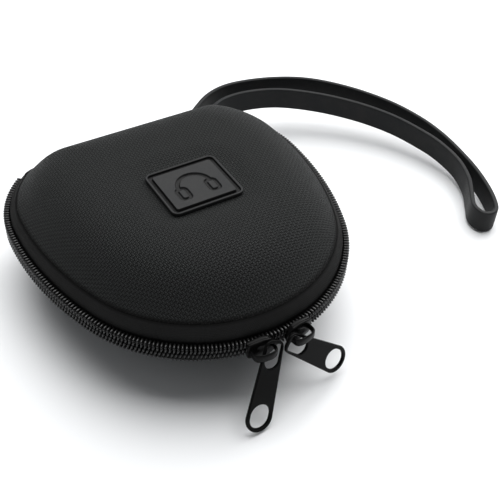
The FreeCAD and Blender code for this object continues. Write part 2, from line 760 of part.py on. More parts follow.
# The loop that the middle of the strap's band follows, seen from above, from the pin
# out along the far run, round the tip and back along the near run.
STRAP_LOOP = [
    (38.2, 74.2), (50.5, 82.4), (64.0, 85.2), (83.0, 82.2), (99.7, 75.0), (114.2, 62.2),
    (125.4, 46.8),
    (131.6, 32.0), (134.0, 19.0), (134.0, 6.0), (132.4, -8.0), (128.6, -21.0),
    (123.6, -29.2), (117.8, -29.2), (116.6, -23.6), (120.8, -17.0), (126.0, -9.0),
    (129.4, 2.0), (129.0, 15.0), (125.6, 26.6), (120.2, 38.4), (111.0, 51.0),
    (98.0, 63.4), (82.6, 73.2), (68.0, 77.2), (55.0, 76.8), (44.6, 71.8),
    (38.6, 66.9),
]


def offset_prism(curve, distance, drop, arcs=110):
    """The solid swept by a loop that runs beside a flat closed curve, as a chain of arcs."""
    first, last = curve.FirstParameter, curve.LastParameter
    points = []
    for number in range(2 * arcs):
        at = first + (last - first) * number / (2 * arcs)
        along = curve.tangent(at)[0]
        sideways = FreeCAD.Vector(-along.y, along.x, 0)
        points.append(curve.value(at) + sideways * distance)
    points.append(points[0])
    edges = [
        Part.Arc(*points[number:number + 3]).toShape() for number in range(0, 2 * arcs, 2)
    ]
    return Part.Face(Part.Wire(edges)).extrude(drop)


def wrist_strap():
    """One rubber band, moulded as a closed loop and lying folded nearly flat."""
    pin_x, pin_y = dim("strap_pin_x"), dim("strap_pin_y")
    bend = dim("pin_radius") + dim("pin_clearance") + dim("strap_thickness") / 2
    round_pin = [
        (pin_x + bend * math.cos(math.radians(turn)), pin_y + bend * math.sin(math.radians(turn)))
        for turn in (310, 265, 220, 175, 130)
    ]
    flat = [FreeCAD.Vector(x - pin_x, y - pin_y, 0) for x, y in STRAP_LOOP + round_pin]
    curve = Part.BSplineCurve()
    curve.interpolate(Points=flat, PeriodicFlag=True)
    half = dim("strap_thickness") / 2
    height = dim("strap_level") + pin_x * dim("strap_slope_x") + pin_y * dim("strap_slope_y")
    normal = FreeCAD.Vector(-dim("strap_slope_x"), -dim("strap_slope_y"), 1)
    tilt = FreeCAD.Rotation(FreeCAD.Vector(0, 0, 1), normal)
    drop = tilt.inverted().multVec(FreeCAD.Vector(0, 0, -dim("strap_width")))
    within, whole = sorted(
        (offset_prism(curve, offset, drop) for offset in (-half, half)),
        key=lambda prism: prism.Volume,
    )
    strap = DOC.addObject("Part::Feature", "wrist_strap")
    strap.Shape = whole.cut(within).Solids[0]
    strap.Placement = FreeCAD.Placement(FreeCAD.Vector(pin_x, pin_y, height), tilt)
    return label(strap, "wrist_strap")


def strap_anchor():
    """Moulded bracket on the back wall: foot, plate, two arms and the strap's pin."""
    name = "strap_anchor"
    left = "Dims.strap_pin_x - Dims.anchor_width / 2"
    far = "Dims.strap_pin_y + Dims.pin_radius + Dims.anchor_lip"
    pieces = [
        box(f"{name}_plate", "Dims.anchor_width", "Dims.anchor_plate",
            "Dims.anchor_top - Dims.anchor_bottom", left, "Dims.anchor_plate_y",
            "Dims.anchor_bottom"),
        box(f"{name}_foot", "Dims.anchor_width", "Dims.anchor_foot_depth",
            "Dims.anchor_foot_top - Dims.anchor_bottom", left,
            "Dims.anchor_plate_y + Dims.anchor_plate - Dims.anchor_foot_depth",
            "Dims.anchor_bottom"),
    ]
    for arm, height in (
        ("lower_arm", "Dims.anchor_bottom"), ("upper_arm", "Dims.anchor_top - Dims.anchor_arm"),
    ):
        pieces.append(box(
            f"{name}_{arm}", "Dims.anchor_width", f"{far} - Dims.anchor_plate_y",
            "Dims.anchor_arm", left, "Dims.anchor_plate_y", height))
    pin = DOC.addObject("Part::Cylinder", f"{name}_pin")
    pin.setExpression("Radius", "Dims.pin_radius")
    pin.setExpression("Height", "Dims.anchor_top - Dims.anchor_bottom")
    pin.setExpression("Placement.Base.x", "Dims.strap_pin_x")
    pin.setExpression("Placement.Base.y", "Dims.strap_pin_y")
    pin.setExpression("Placement.Base.z", "Dims.anchor_bottom")
    whole = DOC.addObject("Part::MultiFuse", f"{name}_whole")
    whole.Shapes = pieces + [pin]
    trimmed = boolean("Cut", f"{name}_trimmed", whole, DOC.getObject("lower_boundary0"))
    return label(boolean("Cut", name, trimmed, DOC.getObject("lower_zip_tape_outside")), name)


# ---------------------------------------------------------------- the whole case

def build_case():
    nodes = []
    nodes += shell_layers("upper", LID_PROFILE, LID_CREASE, "lid_rise", "1", "Dims.lid_wedge_slope")
    nodes += shell_layers("lower", BASE_PROFILE, BASE_CREASE, "base_drop", "-1", "0")
    for side in ("upper", "lower"):
        nodes += [zip_tape(side), zip_coil(side), inner_binding(side)]
    step = "Dims.tape_inset + Dims.tape_thickness + Dims.fit_gap"
    nodes.append(hinge_fabric("hinge_outer_fabric", "Dims.tape_inset", "Dims.tape_thickness"))
    nodes.append(hinge_fabric("hinge_inner_lining", step, "Dims.hinge_lining_thickness"))
    nodes += [badge(), wrist_strap(), strap_anchor()]
    for side, tab in (("left", LEFT_TAB), ("right", RIGHT_TAB)):
        placement, leg = tab_placement(*tab)
        nodes += [slider_body(side), slider_crown(side), pull_tab(side, placement)]
        print(f"{side} pull pivot", [round(value, 3) for value in leg])
    DOC.recompute()
    return nodes


def check(nodes):
    """Stops on any failed object, and on a sub-part that isn't one valid solid."""
    for obj in DOC.Objects:
        if "Invalid" in obj.State or "Error" in obj.State:
            raise RuntimeError(f"{obj.Name}: {obj.State}")
    for node in nodes:
        shape = node.Shape
        if shape.isNull() or not shape.isValid() or shape.Volume <= 0:
            raise RuntimeError(f"{node.Label}: not a valid solid")


def export(nodes):
    os.makedirs("parts", exist_ok=True)
    for node in nodes:
        node.Shape.exportStep(f"parts/{node.Label}.step")
        size = node.Shape.BoundBox
        print(f"{node.Label:24s} {node.Shape.Volume:9.1f} mm3, {len(node.Shape.Solids)} solid(s),"
              f" z {size.ZMin:6.2f} to {size.ZMax:6.2f}")


fill_sheet()
NODES = build_case()
check(NODES)
export(NODES)
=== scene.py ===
import json
import math

import bmesh
import bpy
import numpy as np
from mathutils import Matrix, Vector


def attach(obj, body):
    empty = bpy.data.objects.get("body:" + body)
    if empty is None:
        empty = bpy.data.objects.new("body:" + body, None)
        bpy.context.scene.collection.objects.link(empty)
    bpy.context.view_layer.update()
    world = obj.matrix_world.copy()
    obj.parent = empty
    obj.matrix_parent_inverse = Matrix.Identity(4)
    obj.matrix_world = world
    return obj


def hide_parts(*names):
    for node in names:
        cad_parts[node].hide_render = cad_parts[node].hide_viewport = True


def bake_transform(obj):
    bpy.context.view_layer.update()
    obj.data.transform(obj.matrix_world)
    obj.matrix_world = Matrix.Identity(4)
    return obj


# Visual model of a zipped semi-hard carrying case. Lengths in the functions below are
# millimetres, turned to metres where a mesh is made; the frame is the CAD part's.

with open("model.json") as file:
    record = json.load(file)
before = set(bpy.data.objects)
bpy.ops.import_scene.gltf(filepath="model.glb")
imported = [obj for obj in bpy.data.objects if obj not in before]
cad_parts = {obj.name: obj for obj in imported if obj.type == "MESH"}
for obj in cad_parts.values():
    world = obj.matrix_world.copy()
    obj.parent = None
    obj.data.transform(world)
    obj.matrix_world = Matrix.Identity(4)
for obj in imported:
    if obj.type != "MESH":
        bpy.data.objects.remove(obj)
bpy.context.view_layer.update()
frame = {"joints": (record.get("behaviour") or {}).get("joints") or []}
MM = 0.001

# ---------------------------------------------------------------- driving dimensions

FRONT_RADIUS, SIDE_RADIUS, CORNER_RADIUS, HINGE_CORNER_RADIUS = 55.0, 120.2, 41.3, 12.6
FRONT_ANGLE, SIDE_ANGLE = math.radians(68.3), math.radians(92.7)
HINGE_Y = 61.9
SCALE_CENTRE = np.array([0.0, 13.5])
SEAM = 24.5
LID_CREASE, BASE_CREASE = 32.5, 16.5
LID_SLOPE = -0.022
LID_RISE, BASE_DROP = 15.5, 16.5
CREASE_INSET = 4.7
# which way a shell goes from the seam, its crease's height, and its share of the lid's slope
SIDES = {"upper": (1, LID_CREASE, 1.0), "lower": (-1, BASE_CREASE, 0.0)}
LID_POWERS, BASE_POWERS, BASE_FLAT = (7.3, 1 / 0.66), (8.5, 1.45), 0.992
FABRIC, CORE, LINING = 0.7, 3.0, 0.6
TAPE_INSET, TAPE_THICKNESS, TAPE_STRAIGHT, FLANGE_INSET = 2.45, 0.6, 4.6, 8.9
ZIP_END_X, HINGE_ZONE_Y = 45.5, 45.0
TOOTH_PITCH = 1.35
STITCH_PITCH, STITCH_INSET, STITCH_DROP = 3.2, 8.0, 1.42
BADGE_SIZE, BADGE_CORNER, BADGE_Y = (27.4, 24.2), 2.6, 2.0
# the badge stands just above the level that the lid reaches at 0.93 of its rise
BADGE_LEVEL, BADGE_BORDER, BADGE_FLOOR = LID_RISE * 0.93 + 0.05, 2.1, 0.22
STRAP_PIN, PIN_RADIUS, PIN_CLEARANCE = (33.5, 66.5), 1.3, 0.3
STRAP_THICKNESS, STRAP_WIDTH = 1.9, 10.0
STRAP_LEVEL, STRAP_SLOPE = 17.25, (-0.037, 0.084)
SLIDER_ANGLES = {"left": -6.4, "right": 8.2}
FACE_RADIUS, INSIDE_RADIUS = 56.0, 51.2
BEND_CUTS = np.linspace(-5, 5, 11)
# the slider's upper edge seen from the front, from its tail to its nose: (along, up)
SHOULDER = [(-4.9, 3.1), (-2.5, 3.6), (0.2, 4.0), (2.4, 3.6), (4.3, 2.1)]
# how each pull lies at its slider, in (along the chain, outward, up): the way it points, the
# way its face is turned, then where the bridge's leg stands in the pull's own x and y
TAB_LIE = {
    "left": ((-0.37, 0.42, -0.829), (0.90, 0.02, -0.43), 0.9, 23.4),
    "right": ((0.705, 0.179, -0.686), (0.709, -0.224, 0.669), 0.9, 23.5),
}

# ---------------------------------------------------------------- camera

AZIMUTH, ELEVATION = math.radians(-28.18), math.radians(42.62)
LENS, SENSOR = 61.32, 36.0
DISTANCE, AIM_HEIGHT = 307.3, 27.3
SIGHT_LINE = Vector((-0.06253, 0.02202, 1))


def make_camera():
    """From the front left and above; the case sits a little left of the middle."""
    back = Vector((
        math.sin(AZIMUTH) * math.cos(ELEVATION), -math.cos(AZIMUTH) * math.cos(ELEVATION),
        math.sin(ELEVATION),
    ))
    right = Vector((math.cos(AZIMUTH), math.sin(AZIMUTH), 0))
    up = right.cross(-back)
    turn = Vector((0, 0, 1)).rotation_difference(SIGHT_LINE.normalized()).to_matrix()
    axes = [turn[row][0] * right + turn[row][1] * up - turn[row][2] * back for row in range(3)]
    data = bpy.data.cameras.new("camera")
    data.lens, data.sensor_width = LENS, SENSOR
    data.clip_start, data.clip_end = 0.01, 20
    camera = bpy.data.objects.new("camera", data)
    bpy.context.collection.objects.link(camera)
    spot = Vector((0, 0, AIM_HEIGHT)) + back * DISTANCE
    camera.matrix_world = Matrix((
        (axes[0].x, axes[1].x, -axes[2].x, spot.x * MM),
        (axes[0].y, axes[1].y, -axes[2].y, spot.y * MM),
        (axes[0].z, axes[1].z, -axes[2].z, spot.z * MM),
        (0, 0, 0, 1),
    ))
    bpy.context.scene.camera = camera


make_camera()

# ---------------------------------------------------------------- node materials

# sizes of threads and bumps here are in metres
WEAVE = 0.0010


class Nodes:
    """Short calls for a material's node tree. Values are sockets or plain numbers."""

    def __init__(self, name):
        self.material = bpy.data.materials.new(name)
        self.material.use_nodes = True
        self.tree = self.material.node_tree
        self.shader = self.tree.nodes["Principled BSDF"]

    def node(self, kind, **settings):
        made = self.tree.nodes.new(kind)
        for key, value in settings.items():
            setattr(made, key, value)
        return made

    def join(self, value, socket):
        if isinstance(value, bpy.types.NodeSocket):
            self.tree.links.new(value, socket)
        else:
            socket.default_value = value

    def math(self, operation, first, second=0.0):
        made = self.node("ShaderNodeMath", operation=operation)
        self.join(first, made.inputs[0])
        self.join(second, made.inputs[1])
        return made.outputs[0]

    def place(self):
        return self.node("ShaderNodeTexCoord").outputs["Object"]

    def attribute(self, name, output="Vector"):
        return self.node("ShaderNodeAttribute", attribute_name=name).outputs[output]

    def mapped(self, vector, scale, turn=0.0):
        made = self.node("ShaderNodeMapping")
        self.join(vector, made.inputs["Vector"])
        made.inputs["Scale"].default_value = scale
        made.inputs["Rotation"].default_value = (0, 0, turn)
        return made.outputs[0]

    def split(self, vector):
        made = self.node("ShaderNodeSeparateXYZ")
        self.join(vector, made.inputs[0])
        return made.outputs

    def noise(self, vector, scale, detail=2.0, roughness=0.5):
        made = self.node("ShaderNodeTexNoise")
        self.join(vector, made.inputs["Vector"])
        made.inputs["Scale"].default_value = scale
        made.inputs["Detail"].default_value = detail
        made.inputs["Roughness"].default_value = roughness
        return made.outputs[0]

    def cells(self, vector, scale):
        made = self.node("ShaderNodeTexVoronoi")
        self.join(vector, made.inputs["Vector"])
        made.inputs["Scale"].default_value = scale
        return made.outputs["Distance"]

    def checker(self, vector, scale):
        made = self.node("ShaderNodeTexChecker")
        self.join(vector, made.inputs["Vector"])
        made.inputs["Color1"].default_value = (1, 1, 1, 1)
        made.inputs["Color2"].default_value = (0, 0, 0, 1)
        made.inputs["Scale"].default_value = scale
        return made.outputs["Fac"]

    def ramp(self, value, low, high, first=0.0, last=1.0):
        made = self.node("ShaderNodeMapRange", interpolation_type="SMOOTHSTEP")
        self.join(value, made.inputs["Value"])
        for key, number in (
            ("From Min", low), ("From Max", high), ("To Min", first), ("To Max", last),
        ):
            made.inputs[key].default_value = number
        return made.outputs[0]

    def blend(self, factor, first, second, data_type="RGBA", blend_type="MIX"):
        made = self.node("ShaderNodeMix", data_type=data_type, blend_type=blend_type)
        slots = [s for s in made.inputs if s.enabled]
        self.join(factor, slots[0])
        self.join(first, slots[1])
        self.join(second, slots[2])
        return [s for s in made.outputs if s.enabled][0]

    def finish(self, colour, roughness, height=None, depth=0.0001, strength=1.0, **sockets):
        """height is a bump of 0 to 1, times depth in metres; sockets are the shader's own."""
        self.join(colour, self.shader.inputs["Base Color"])
        self.join(roughness, self.shader.inputs["Roughness"])
        for key, value in sockets.items():
            self.shader.inputs[key.replace("_", " ")].default_value = value
        if height is not None:
            bump = self.node("ShaderNodeBump")
            bump.inputs["Strength"].default_value = strength
            bump.inputs["Distance"].default_value = depth
            self.join(height, bump.inputs["Height"])
            self.tree.links.new(bump.outputs[0], self.shader.inputs["Normal"])
        return self.material


def grey(level, tint=(0, 0, 0)):
    """A linear grey with a slight tint."""
    return (level + tint[0], level + tint[1], level + tint[2], 1)


def thread(n, value, pitch):
    """Rounded ridges across one coordinate, pitch in metres: 0 in the gap, 1 on the thread."""
    phase = n.math("MULTIPLY", value, math.pi / pitch)
    return n.math("ABSOLUTE", n.math("SINE", phase))


def woven_fabric():
    """Ballistic nylon: pairs of yarns that pass over and under, with lint, soft wear and painted
    shade along the crease.
    """
    n = Nodes("woven_fabric")
    cloth = n.attribute("cloth")
    wander = n.noise(cloth, 300, 2)
    x, y, _ = n.split(cloth)
    x = n.math("ADD", x, n.math("MULTIPLY", wander, 0.0003))
    y = n.math("ADD", y, n.math("MULTIPLY", wander, -0.0003))
    over = n.checker(n.mapped(cloth, (1, 1, 0.0)), 1 / WEAVE)
    fine = WEAVE / 2
    warp = n.math("MULTIPLY", thread(n, x, fine), thread(n, y, WEAVE))
    weft = n.math("MULTIPLY", thread(n, y, fine), thread(n, x, WEAVE))
    height = n.blend(over, warp, weft, "FLOAT")
    broad = n.noise(cloth, 35, 3, 0.6)
    lint = n.ramp(n.noise(cloth, 900, 1), 0.76, 0.80)
    yarn = n.blend(height, grey(0.0005), grey(0.029, (-0.0008, 0.001, 0.0003)))
    tone = n.blend(over, grey(0.0), grey(0.004, (0, 0.0004, 0.0008)))
    added = n.blend(1.0, yarn, tone, blend_type="ADD")
    faded = grey(0.018, (-0.0005, 0.0007, 0.0002))
    shaded = n.blend(n.ramp(broad, 0.3, 0.75, 0.0, 0.22), added, faded)
    # painted shade: the colour is darkened where the point attribute edge marks the crease
    crease_shaded = n.blend(n.attribute("edge", "Fac"), shaded, grey(0.002))
    dusty = n.blend(n.math("MULTIPLY", lint, 0.4), crease_shaded, grey(0.11))
    return n.finish(
        dusty, n.ramp(height, 0, 1, 0.8, 0.5), height, 0.00024, 1.0,
        Specular_IOR_Level=0.12)


def plain_weave(pitch, low, high):
    """Zip tape: a fine plain weave with lint, and painted shade in its folds."""
    n = Nodes("zip_tape")
    cloth = n.attribute("cloth")
    x, y, _ = n.split(cloth)
    over = n.checker(n.mapped(cloth, (1, 1, 0.0)), 1 / pitch)
    height = n.blend(over, thread(n, x, pitch), thread(n, y, pitch), "FLOAT")
    broad = n.noise(cloth, 60, 3, 0.6)
    yarn = n.blend(height, grey(low), grey(high))
    shaded = n.blend(n.ramp(broad, 0.3, 0.8, 0.0, 0.3), yarn, grey(high * 1.25))
    lint = n.ramp(n.noise(cloth, 1100, 1), 0.77, 0.81)
    dusty = n.blend(n.math("MULTIPLY", lint, 0.3), shaded, grey(0.1))
    # painted shade: the colour is darkened in the folds that the point attribute edge marks
    dark = n.blend(n.attribute("edge", "Fac"), dusty, grey(0.002))
    return n.finish(
        dark, n.ramp(height, 0, 1, 0.9, 0.75), height, 0.0001, 1.0,
        Specular_IOR_Level=0.08)


def ribbed_ribbon():
    """Grosgrain binding: fine ribs across its length."""
    n = Nodes("binding")
    height = thread(n, n.split(n.attribute("cloth"))[0], 0.0005)
    colour = n.blend(height, grey(0.005), grey(0.02))
    worn = n.blend(n.ramp(n.noise(n.place(), 90, 3), 0.4, 0.8, 0, 0.3), colour, grey(0.03))
    return n.finish(worn, 0.8, height, 0.0001, 1.0, Sheen_Weight=0.1)


def tricot():
    """Brushed knit lining: small V stitches and a soft nap."""
    n = Nodes("lining")
    cloth = n.attribute("cloth")
    x, y, _ = n.split(cloth)
    wale = thread(n, x, 0.0008)
    slant = n.math("ADD", y, n.math("MULTIPLY", wale, 0.0003))
    height = n.math("MULTIPLY", wale, thread(n, slant, 0.0007))
    nap = n.noise(cloth, 2500, 2)
    colour = n.blend(height, grey(0.01), grey(0.032, (0, 0.0005, 0.001)))
    soft = n.blend(n.ramp(nap, 0.35, 0.75, 0.0, 0.35), colour, grey(0.05))
    broad = n.blend(n.ramp(n.noise(cloth, 40, 3), 0.35, 0.75, 0, 0.3), soft, grey(0.018))
    return n.finish(broad, 0.9, height, 0.00012, 0.8, Sheen_Weight=0.15, Sheen_Roughness=0.4)


def foam():
    """Closed-cell EVA foam: fine pores."""
    n = Nodes("eva_foam")
    place = n.place()
    pores = n.cells(place, 1800)
    colour = n.blend(n.ramp(pores, 0.1, 0.6), grey(0.006), grey(0.02))
    mottled = n.blend(n.ramp(n.noise(place, 120, 3), 0.4, 0.7, 0, 0.4), colour, grey(0.028))
    return n.finish(mottled, 0.85, pores, 0.0001, 0.6)


def nylon():
    """Zip coil monofilament: satin, a little paler where it is rubbed."""
    n = Nodes("nylon_coil")
    place = n.place()
    streaks = n.noise(n.mapped(place, (1, 1, 6)), 900, 2)
    rubbed = n.ramp(n.noise(place, 160, 2), 0.45, 0.75)
    colour = n.blend(n.math("MULTIPLY", rubbed, 0.6), grey(0.008), grey(0.022))
    lined = n.blend(n.ramp(streaks, 0.4, 0.7, 0, 0.4), colour, grey(0.004))
    return n.finish(lined, n.ramp(streaks, 0.3, 0.8, 0.2, 0.36), streaks, 0.00002, 0.5,
                    Specular_IOR_Level=0.4)


def moulded(name, low, high, roughness, shine, grain=2600, groove=False):
    """Moulded rubber or plastic: fine grain, faint mottling, handling marks, and painted shade in
    its grooves where asked.
    """
    n = Nodes(name)
    place = n.place()
    fine = n.noise(place, grain, 2)
    broad = n.noise(place, 70, 4, 0.65)
    colour = n.blend(n.ramp(broad, 0.3, 0.75), grey(low, (0, 0.001, 0.002)), grey(high))
    marks = n.ramp(n.noise(n.mapped(place, (1, 3, 1), 0.6), 260, 3), 0.62, 0.72)
    marked = n.blend(n.math("MULTIPLY", marks, 0.22), colour, grey(high * 1.7))
    # painted shade: the colour is darkened in the badge's channel and cut sign, as the point
    # attribute marks them
    if groove:
        marked = n.blend(n.attribute("groove", "Fac"), marked, grey(0.002))
    rough = n.math("ADD", n.ramp(fine, 0.3, 0.7, roughness - 0.06, roughness + 0.06),
                   n.math("MULTIPLY", marks, 0.08))
    return n.finish(marked, rough, fine, 0.00003, 0.5, Specular_IOR_Level=shine)


def enamel():
    """Gloss-painted zinc: near black, orange-peel ripple, pale wear on rubbed places."""
    n = Nodes("slider_enamel")
    place = n.place()
    peel = n.noise(place, 500, 2)
    wear = n.ramp(n.noise(place, 420, 4, 0.7), 0.66, 0.74)
    colour = n.blend(n.math("MULTIPLY", wear, 0.25), grey(0.003), grey(0.04))
    cloud = n.blend(n.ramp(n.noise(place, 110, 2), 0.4, 0.7), colour, grey(0.005))
    return n.finish(cloud, n.ramp(wear, 0, 1, 0.2, 0.42), peel, 0.00004, 0.25,
                    Specular_IOR_Level=0.06)


def stitch_thread():
    """Twisted sewing thread."""
    n = Nodes("stitch_thread")
    place = n.place()
    x, y, z = n.split(place)
    twist = thread(n, n.math("ADD", x, n.math("ADD", y, z)), 0.00025)
    colour = n.blend(twist, grey(0.01), grey(0.05))
    return n.finish(colour, 0.7, twist, 0.00005, 0.8)


MATERIALS = {
    "woven_fabric": woven_fabric(),
    "zip_tape": plain_weave(0.00042, 0.006, 0.02),
    "lining": tricot(),
    "eva_foam": foam(),
    "binding": ribbed_ribbon(),
    "nylon_coil": nylon(),
    "badge_rubber": moulded("badge_rubber", 0.014, 0.02, 0.5, 0.12, groove=True),
    "strap_rubber": moulded("strap_rubber", 0.016, 0.022, 0.5, 0.1),
    "anchor_plastic": moulded("anchor_plastic", 0.008, 0.014, 0.4, 0.2),
    "slider_enamel": enamel(),
    "stitch_thread": stitch_thread(),
}

# ---------------------------------------------------------------- mesh helpers


def make(name, points, faces, body, slot, replaced=(), sharp=None, **attributes):
    """A piece from points in mm, with point attributes that its material reads."""
    mesh = bpy.data.meshes.new(name)
    mesh.from_pydata((np.asarray(points, float) * MM).tolist(), [], faces)
    for key, values in attributes.items():
        kind = "FLOAT_VECTOR" if np.ndim(values) == 2 else "FLOAT"
        layer = mesh.attributes.new(key, kind, "POINT")
        field = "vector" if kind == "FLOAT_VECTOR" else "value"
        layer.data.foreach_set(field, np.asarray(values, np.float32).ravel())
    return place(name, mesh, body, slot, replaced, sharp)


def place(name, mesh, body, slot, replaced=(), sharp=None):
    """Makes an object of a mesh: normals turned outward, smooth shading, its material, its body,
    and the CAD parts it replaces hidden.
    """
    mesh.validate()
    edit = bmesh.new()
    edit.from_mesh(mesh)
    bmesh.ops.recalc_face_normals(edit, faces=edit.faces)
    edit.to_mesh(mesh)
    edit.free()
    mesh.shade_smooth()
    if sharp:
        mesh.set_sharp_from_angle(angle=math.radians(sharp))
    mesh.materials.clear()
    mesh.materials.append(MATERIALS[slot])
    obj = bpy.data.objects.new(name, mesh)
    bpy.context.collection.objects.link(obj)
    if body:
        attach(obj, body)
    if replaced:
        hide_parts(*replaced)
    return obj


def grid_faces(rows, columns, wrap_rows=False, wrap_columns=False, start=0):
    """Quads of a grid of points stored row by row."""
    faces = []
    for row in range(rows if wrap_rows else rows - 1):
        below = (row + 1) % rows
        for column in range(columns if wrap_columns else columns - 1):
            beside = (column + 1) % columns
            faces.append((
                start + row * columns + column, start + row * columns + beside,
                start + below * columns + beside, start + below * columns + column,
            ))
    return faces


def tube_faces(rows, columns, closed):
    """Faces of a section carried along a path, with flat ends where the path is open."""
    faces = grid_faces(rows, columns, wrap_rows=closed, wrap_columns=True)
    if not closed:
        faces += [tuple(range(columns)), tuple(range((rows - 1) * columns, rows * columns))]
    return faces


def run_length(points):
    """Distance along a run of points, from 0."""
    return np.concatenate([[0], np.cumsum(np.linalg.norm(np.diff(points, axis=0), axis=1))])


def unit(vectors):
    """Rows of vectors made one long."""
    return vectors / np.linalg.norm(vectors, axis=1, keepdims=True)


def smoothstep(value, low, high):
    """0 below low, 1 above high, and an even curve between."""
    share = np.clip((value - low) / (high - low), 0, 1)
    return share * share * (3 - 2 * share)


def rounded_loop(corners, rounds=3):
    """A closed loop with its corners cut again and again, so that they turn round."""
    points = np.array(corners, float)
    for _ in range(rounds):
        after = np.roll(points, -1, 0)
        points = np.stack([0.78 * points + 0.22 * after, 0.22 * points + 0.78 * after], 1)
        points = points.reshape(-1, points.shape[-1])
    return points


def fill_in(points, step):
    """Adds points along a closed loop so that none are further apart than step."""
    out = []
    for first, second in zip(points, np.roll(points, -1, 0)):
        count = max(1, int(np.ceil(np.linalg.norm(second[:2] - first[:2]) / step)))
        out += [first + (second - first) * number / count for number in range(count)]
    return np.array(out)


# ---------------------------------------------------------------- outline of the case


def direction(turn):
    """Unit vectors at an angle from the front, anticlockwise seen from above."""
    return np.stack([np.sin(turn), -np.cos(turn)], -1)


def half_outline(spacing):
    """The zip chain's line from the front to the middle of the hinge, with its normals."""
    centre = np.zeros(2)
    third = direction(FRONT_ANGLE) * (FRONT_RADIUS - SIDE_RADIUS)
    corner = third + direction(SIDE_ANGLE) * (SIDE_RADIUS - CORNER_RADIUS)
    rise = HINGE_Y - HINGE_CORNER_RADIUS - corner[1]
    corner_angle = math.acos(-rise / (CORNER_RADIUS - HINGE_CORNER_RADIUS))
    last = corner + direction(corner_angle) * (CORNER_RADIUS - HINGE_CORNER_RADIUS)
    arcs = [
        (centre, FRONT_RADIUS, 0.0, FRONT_ANGLE), (third, SIDE_RADIUS, FRONT_ANGLE, SIDE_ANGLE),
        (corner, CORNER_RADIUS, SIDE_ANGLE, corner_angle),
        (last, HINGE_CORNER_RADIUS, corner_angle, math.pi),
    ]
    points, normals = [], []
    for middle, radius, start, end in arcs:
        count = max(4, round(radius * (end - start) / spacing))
        turns = np.linspace(start, end, count, endpoint=False)
        points.append(middle + radius * direction(turns))
        normals.append(direction(turns))
    count = max(4, round(last[0] / spacing))
    across = np.linspace(last[0], 0, count + 1)
    points.append(np.stack([across, np.full(count + 1, HINGE_Y)], 1))
    normals.append(np.tile([0.0, 1.0], (count + 1, 1)))
    return np.concatenate(points), np.concatenate(normals)


def outline(spacing):
    """The whole closed line, anticlockwise from the front."""
    points, normals = half_outline(spacing)
    flip = np.array([-1.0, 1.0])
    return (
        np.concatenate([points, points[-2:0:-1] * flip]),
        np.concatenate([normals, normals[-2:0:-1] * flip]),
    )


def open_run(ring, behind):
    """The stretch of an outline behind the zip's ends, or the stretch with the zip."""
    points, normals = ring
    hinge = (np.abs(points[:, 0]) < ZIP_END_X) & (points[:, 1] > HINGE_ZONE_Y)
    keep = hinge if behind else ~hinge
    start = int(np.argmax(keep & ~np.roll(keep, 1)))
    order = [index % len(points) for index in range(start, start + len(points))]
    order = [index for index in order if keep[index]]
    return points[order], normals[order]


# ---------------------------------------------------------------- moulded shells


def lid_share(k):
    """The lid's height over its crease as a share of its rise, k from pole to crease."""
    return (1 - k ** LID_POWERS[0]) ** LID_POWERS[1]


def base_share(k):
    """The same for the base, which is flat underneath."""
    return np.minimum(1, (1 - k ** BASE_POWERS[0]) ** BASE_POWERS[1] / BASE_FLAT)


def dish(x, y):
    """How far the lid's top is pressed down round the badge."""
    a, b = BADGE_SIZE[0] / 2, BADGE_SIZE[1] / 2
    far = ((np.abs(x) / a) ** 3 + (np.abs(y - BADGE_Y) / b) ** 3) ** (1 / 3)
    return 1.2 * (1 - smoothstep(far, 1.1, 1.75))


def shell_surface(side, depth, ring, shares, pinch):
    """Rows of points from the crease to the pole, `depth` mm in from the outside."""
    points, normals = ring
    inner = points - normals * (CREASE_INSET + depth)
    rows = []
    for k in shares:
        flat = SCALE_CENTRE + k * (inner - SCALE_CENTRE)
        if side == "upper":
            height = (LID_RISE - depth) * lid_share(k)
            level = LID_CREASE + height - dish(flat[:, 0], flat[:, 1]) * smoothstep(height, 8, 13)
            level = level + LID_SLOPE * flat[:, 1]
        else:
            height = (BASE_DROP - depth) * base_share(k)
            level = np.full(len(flat), BASE_CREASE - height)
        tuck = pinch * math.exp(-height / 0.42)
        rows.append(np.column_stack([flat - normals * tuck, level]))
    return np.array(rows)


def shell_layer(name, side, body, slot, depths, spacing, count, pinch, replaced):
    """One closed layer of a shell: an outside, an inside and the rim between them."""
    ring = outline(spacing)
    columns = len(ring[0])
    shares = 1 - np.linspace(0, 1, count + 1)[:-1] ** 1.9
    points, faces, cloth, edge = [], [], [], []
    _, crease_level, slope_share = SIDES[side]
    for depth in depths:
        rows = shell_surface(side, depth, ring, shares, pinch)
        pole = rows[-1].mean(0)
        start = len(points)
        reach = np.linalg.norm(np.diff(rows, axis=0), axis=2)
        to_pole = np.linalg.norm(rows[-1] - pole, axis=1)
        length = np.concatenate([np.cumsum(reach[::-1], 0)[::-1] + to_pole, to_pole[None]])
        away = rows[:, :, :2] - pole[:2]
        away = away / np.maximum(np.linalg.norm(away, axis=2, keepdims=True), 1e-6)
        spread = pole[:2] + away * length[:, :, None]
        points += rows.reshape(-1, 3).tolist() + [pole.tolist()]
        cloth += np.column_stack([
            spread.reshape(-1, 2), np.full(columns * count, depth)]).tolist()
        cloth += [[pole[0], pole[1], depth]]
        # painted shade: edge is 1 at the crease and fades within about a millimetre, so the
        # colour is darkened where the fold lies in shade
        crease = crease_level + slope_share * LID_SLOPE * rows[:, :, 1]
        above = np.abs(rows[:, :, 2] - crease).ravel()
        edge += (1 - smoothstep(above, 0.1, 1.3)).tolist() + [0.0]
        faces += grid_faces(count, columns, wrap_columns=True, start=start)
        tip = start + count * columns
        base = start + (count - 1) * columns
        faces += [(base + c, base + (c + 1) % columns, tip) for c in range(columns)]
    second = count * columns + 1
    for column in range(columns):
        beside = (column + 1) % columns
        faces.append((column, beside, second + beside, second + column))
    return make(name, points, faces, body, slot, replaced,
                cloth=np.array(cloth) * MM, edge=edge)


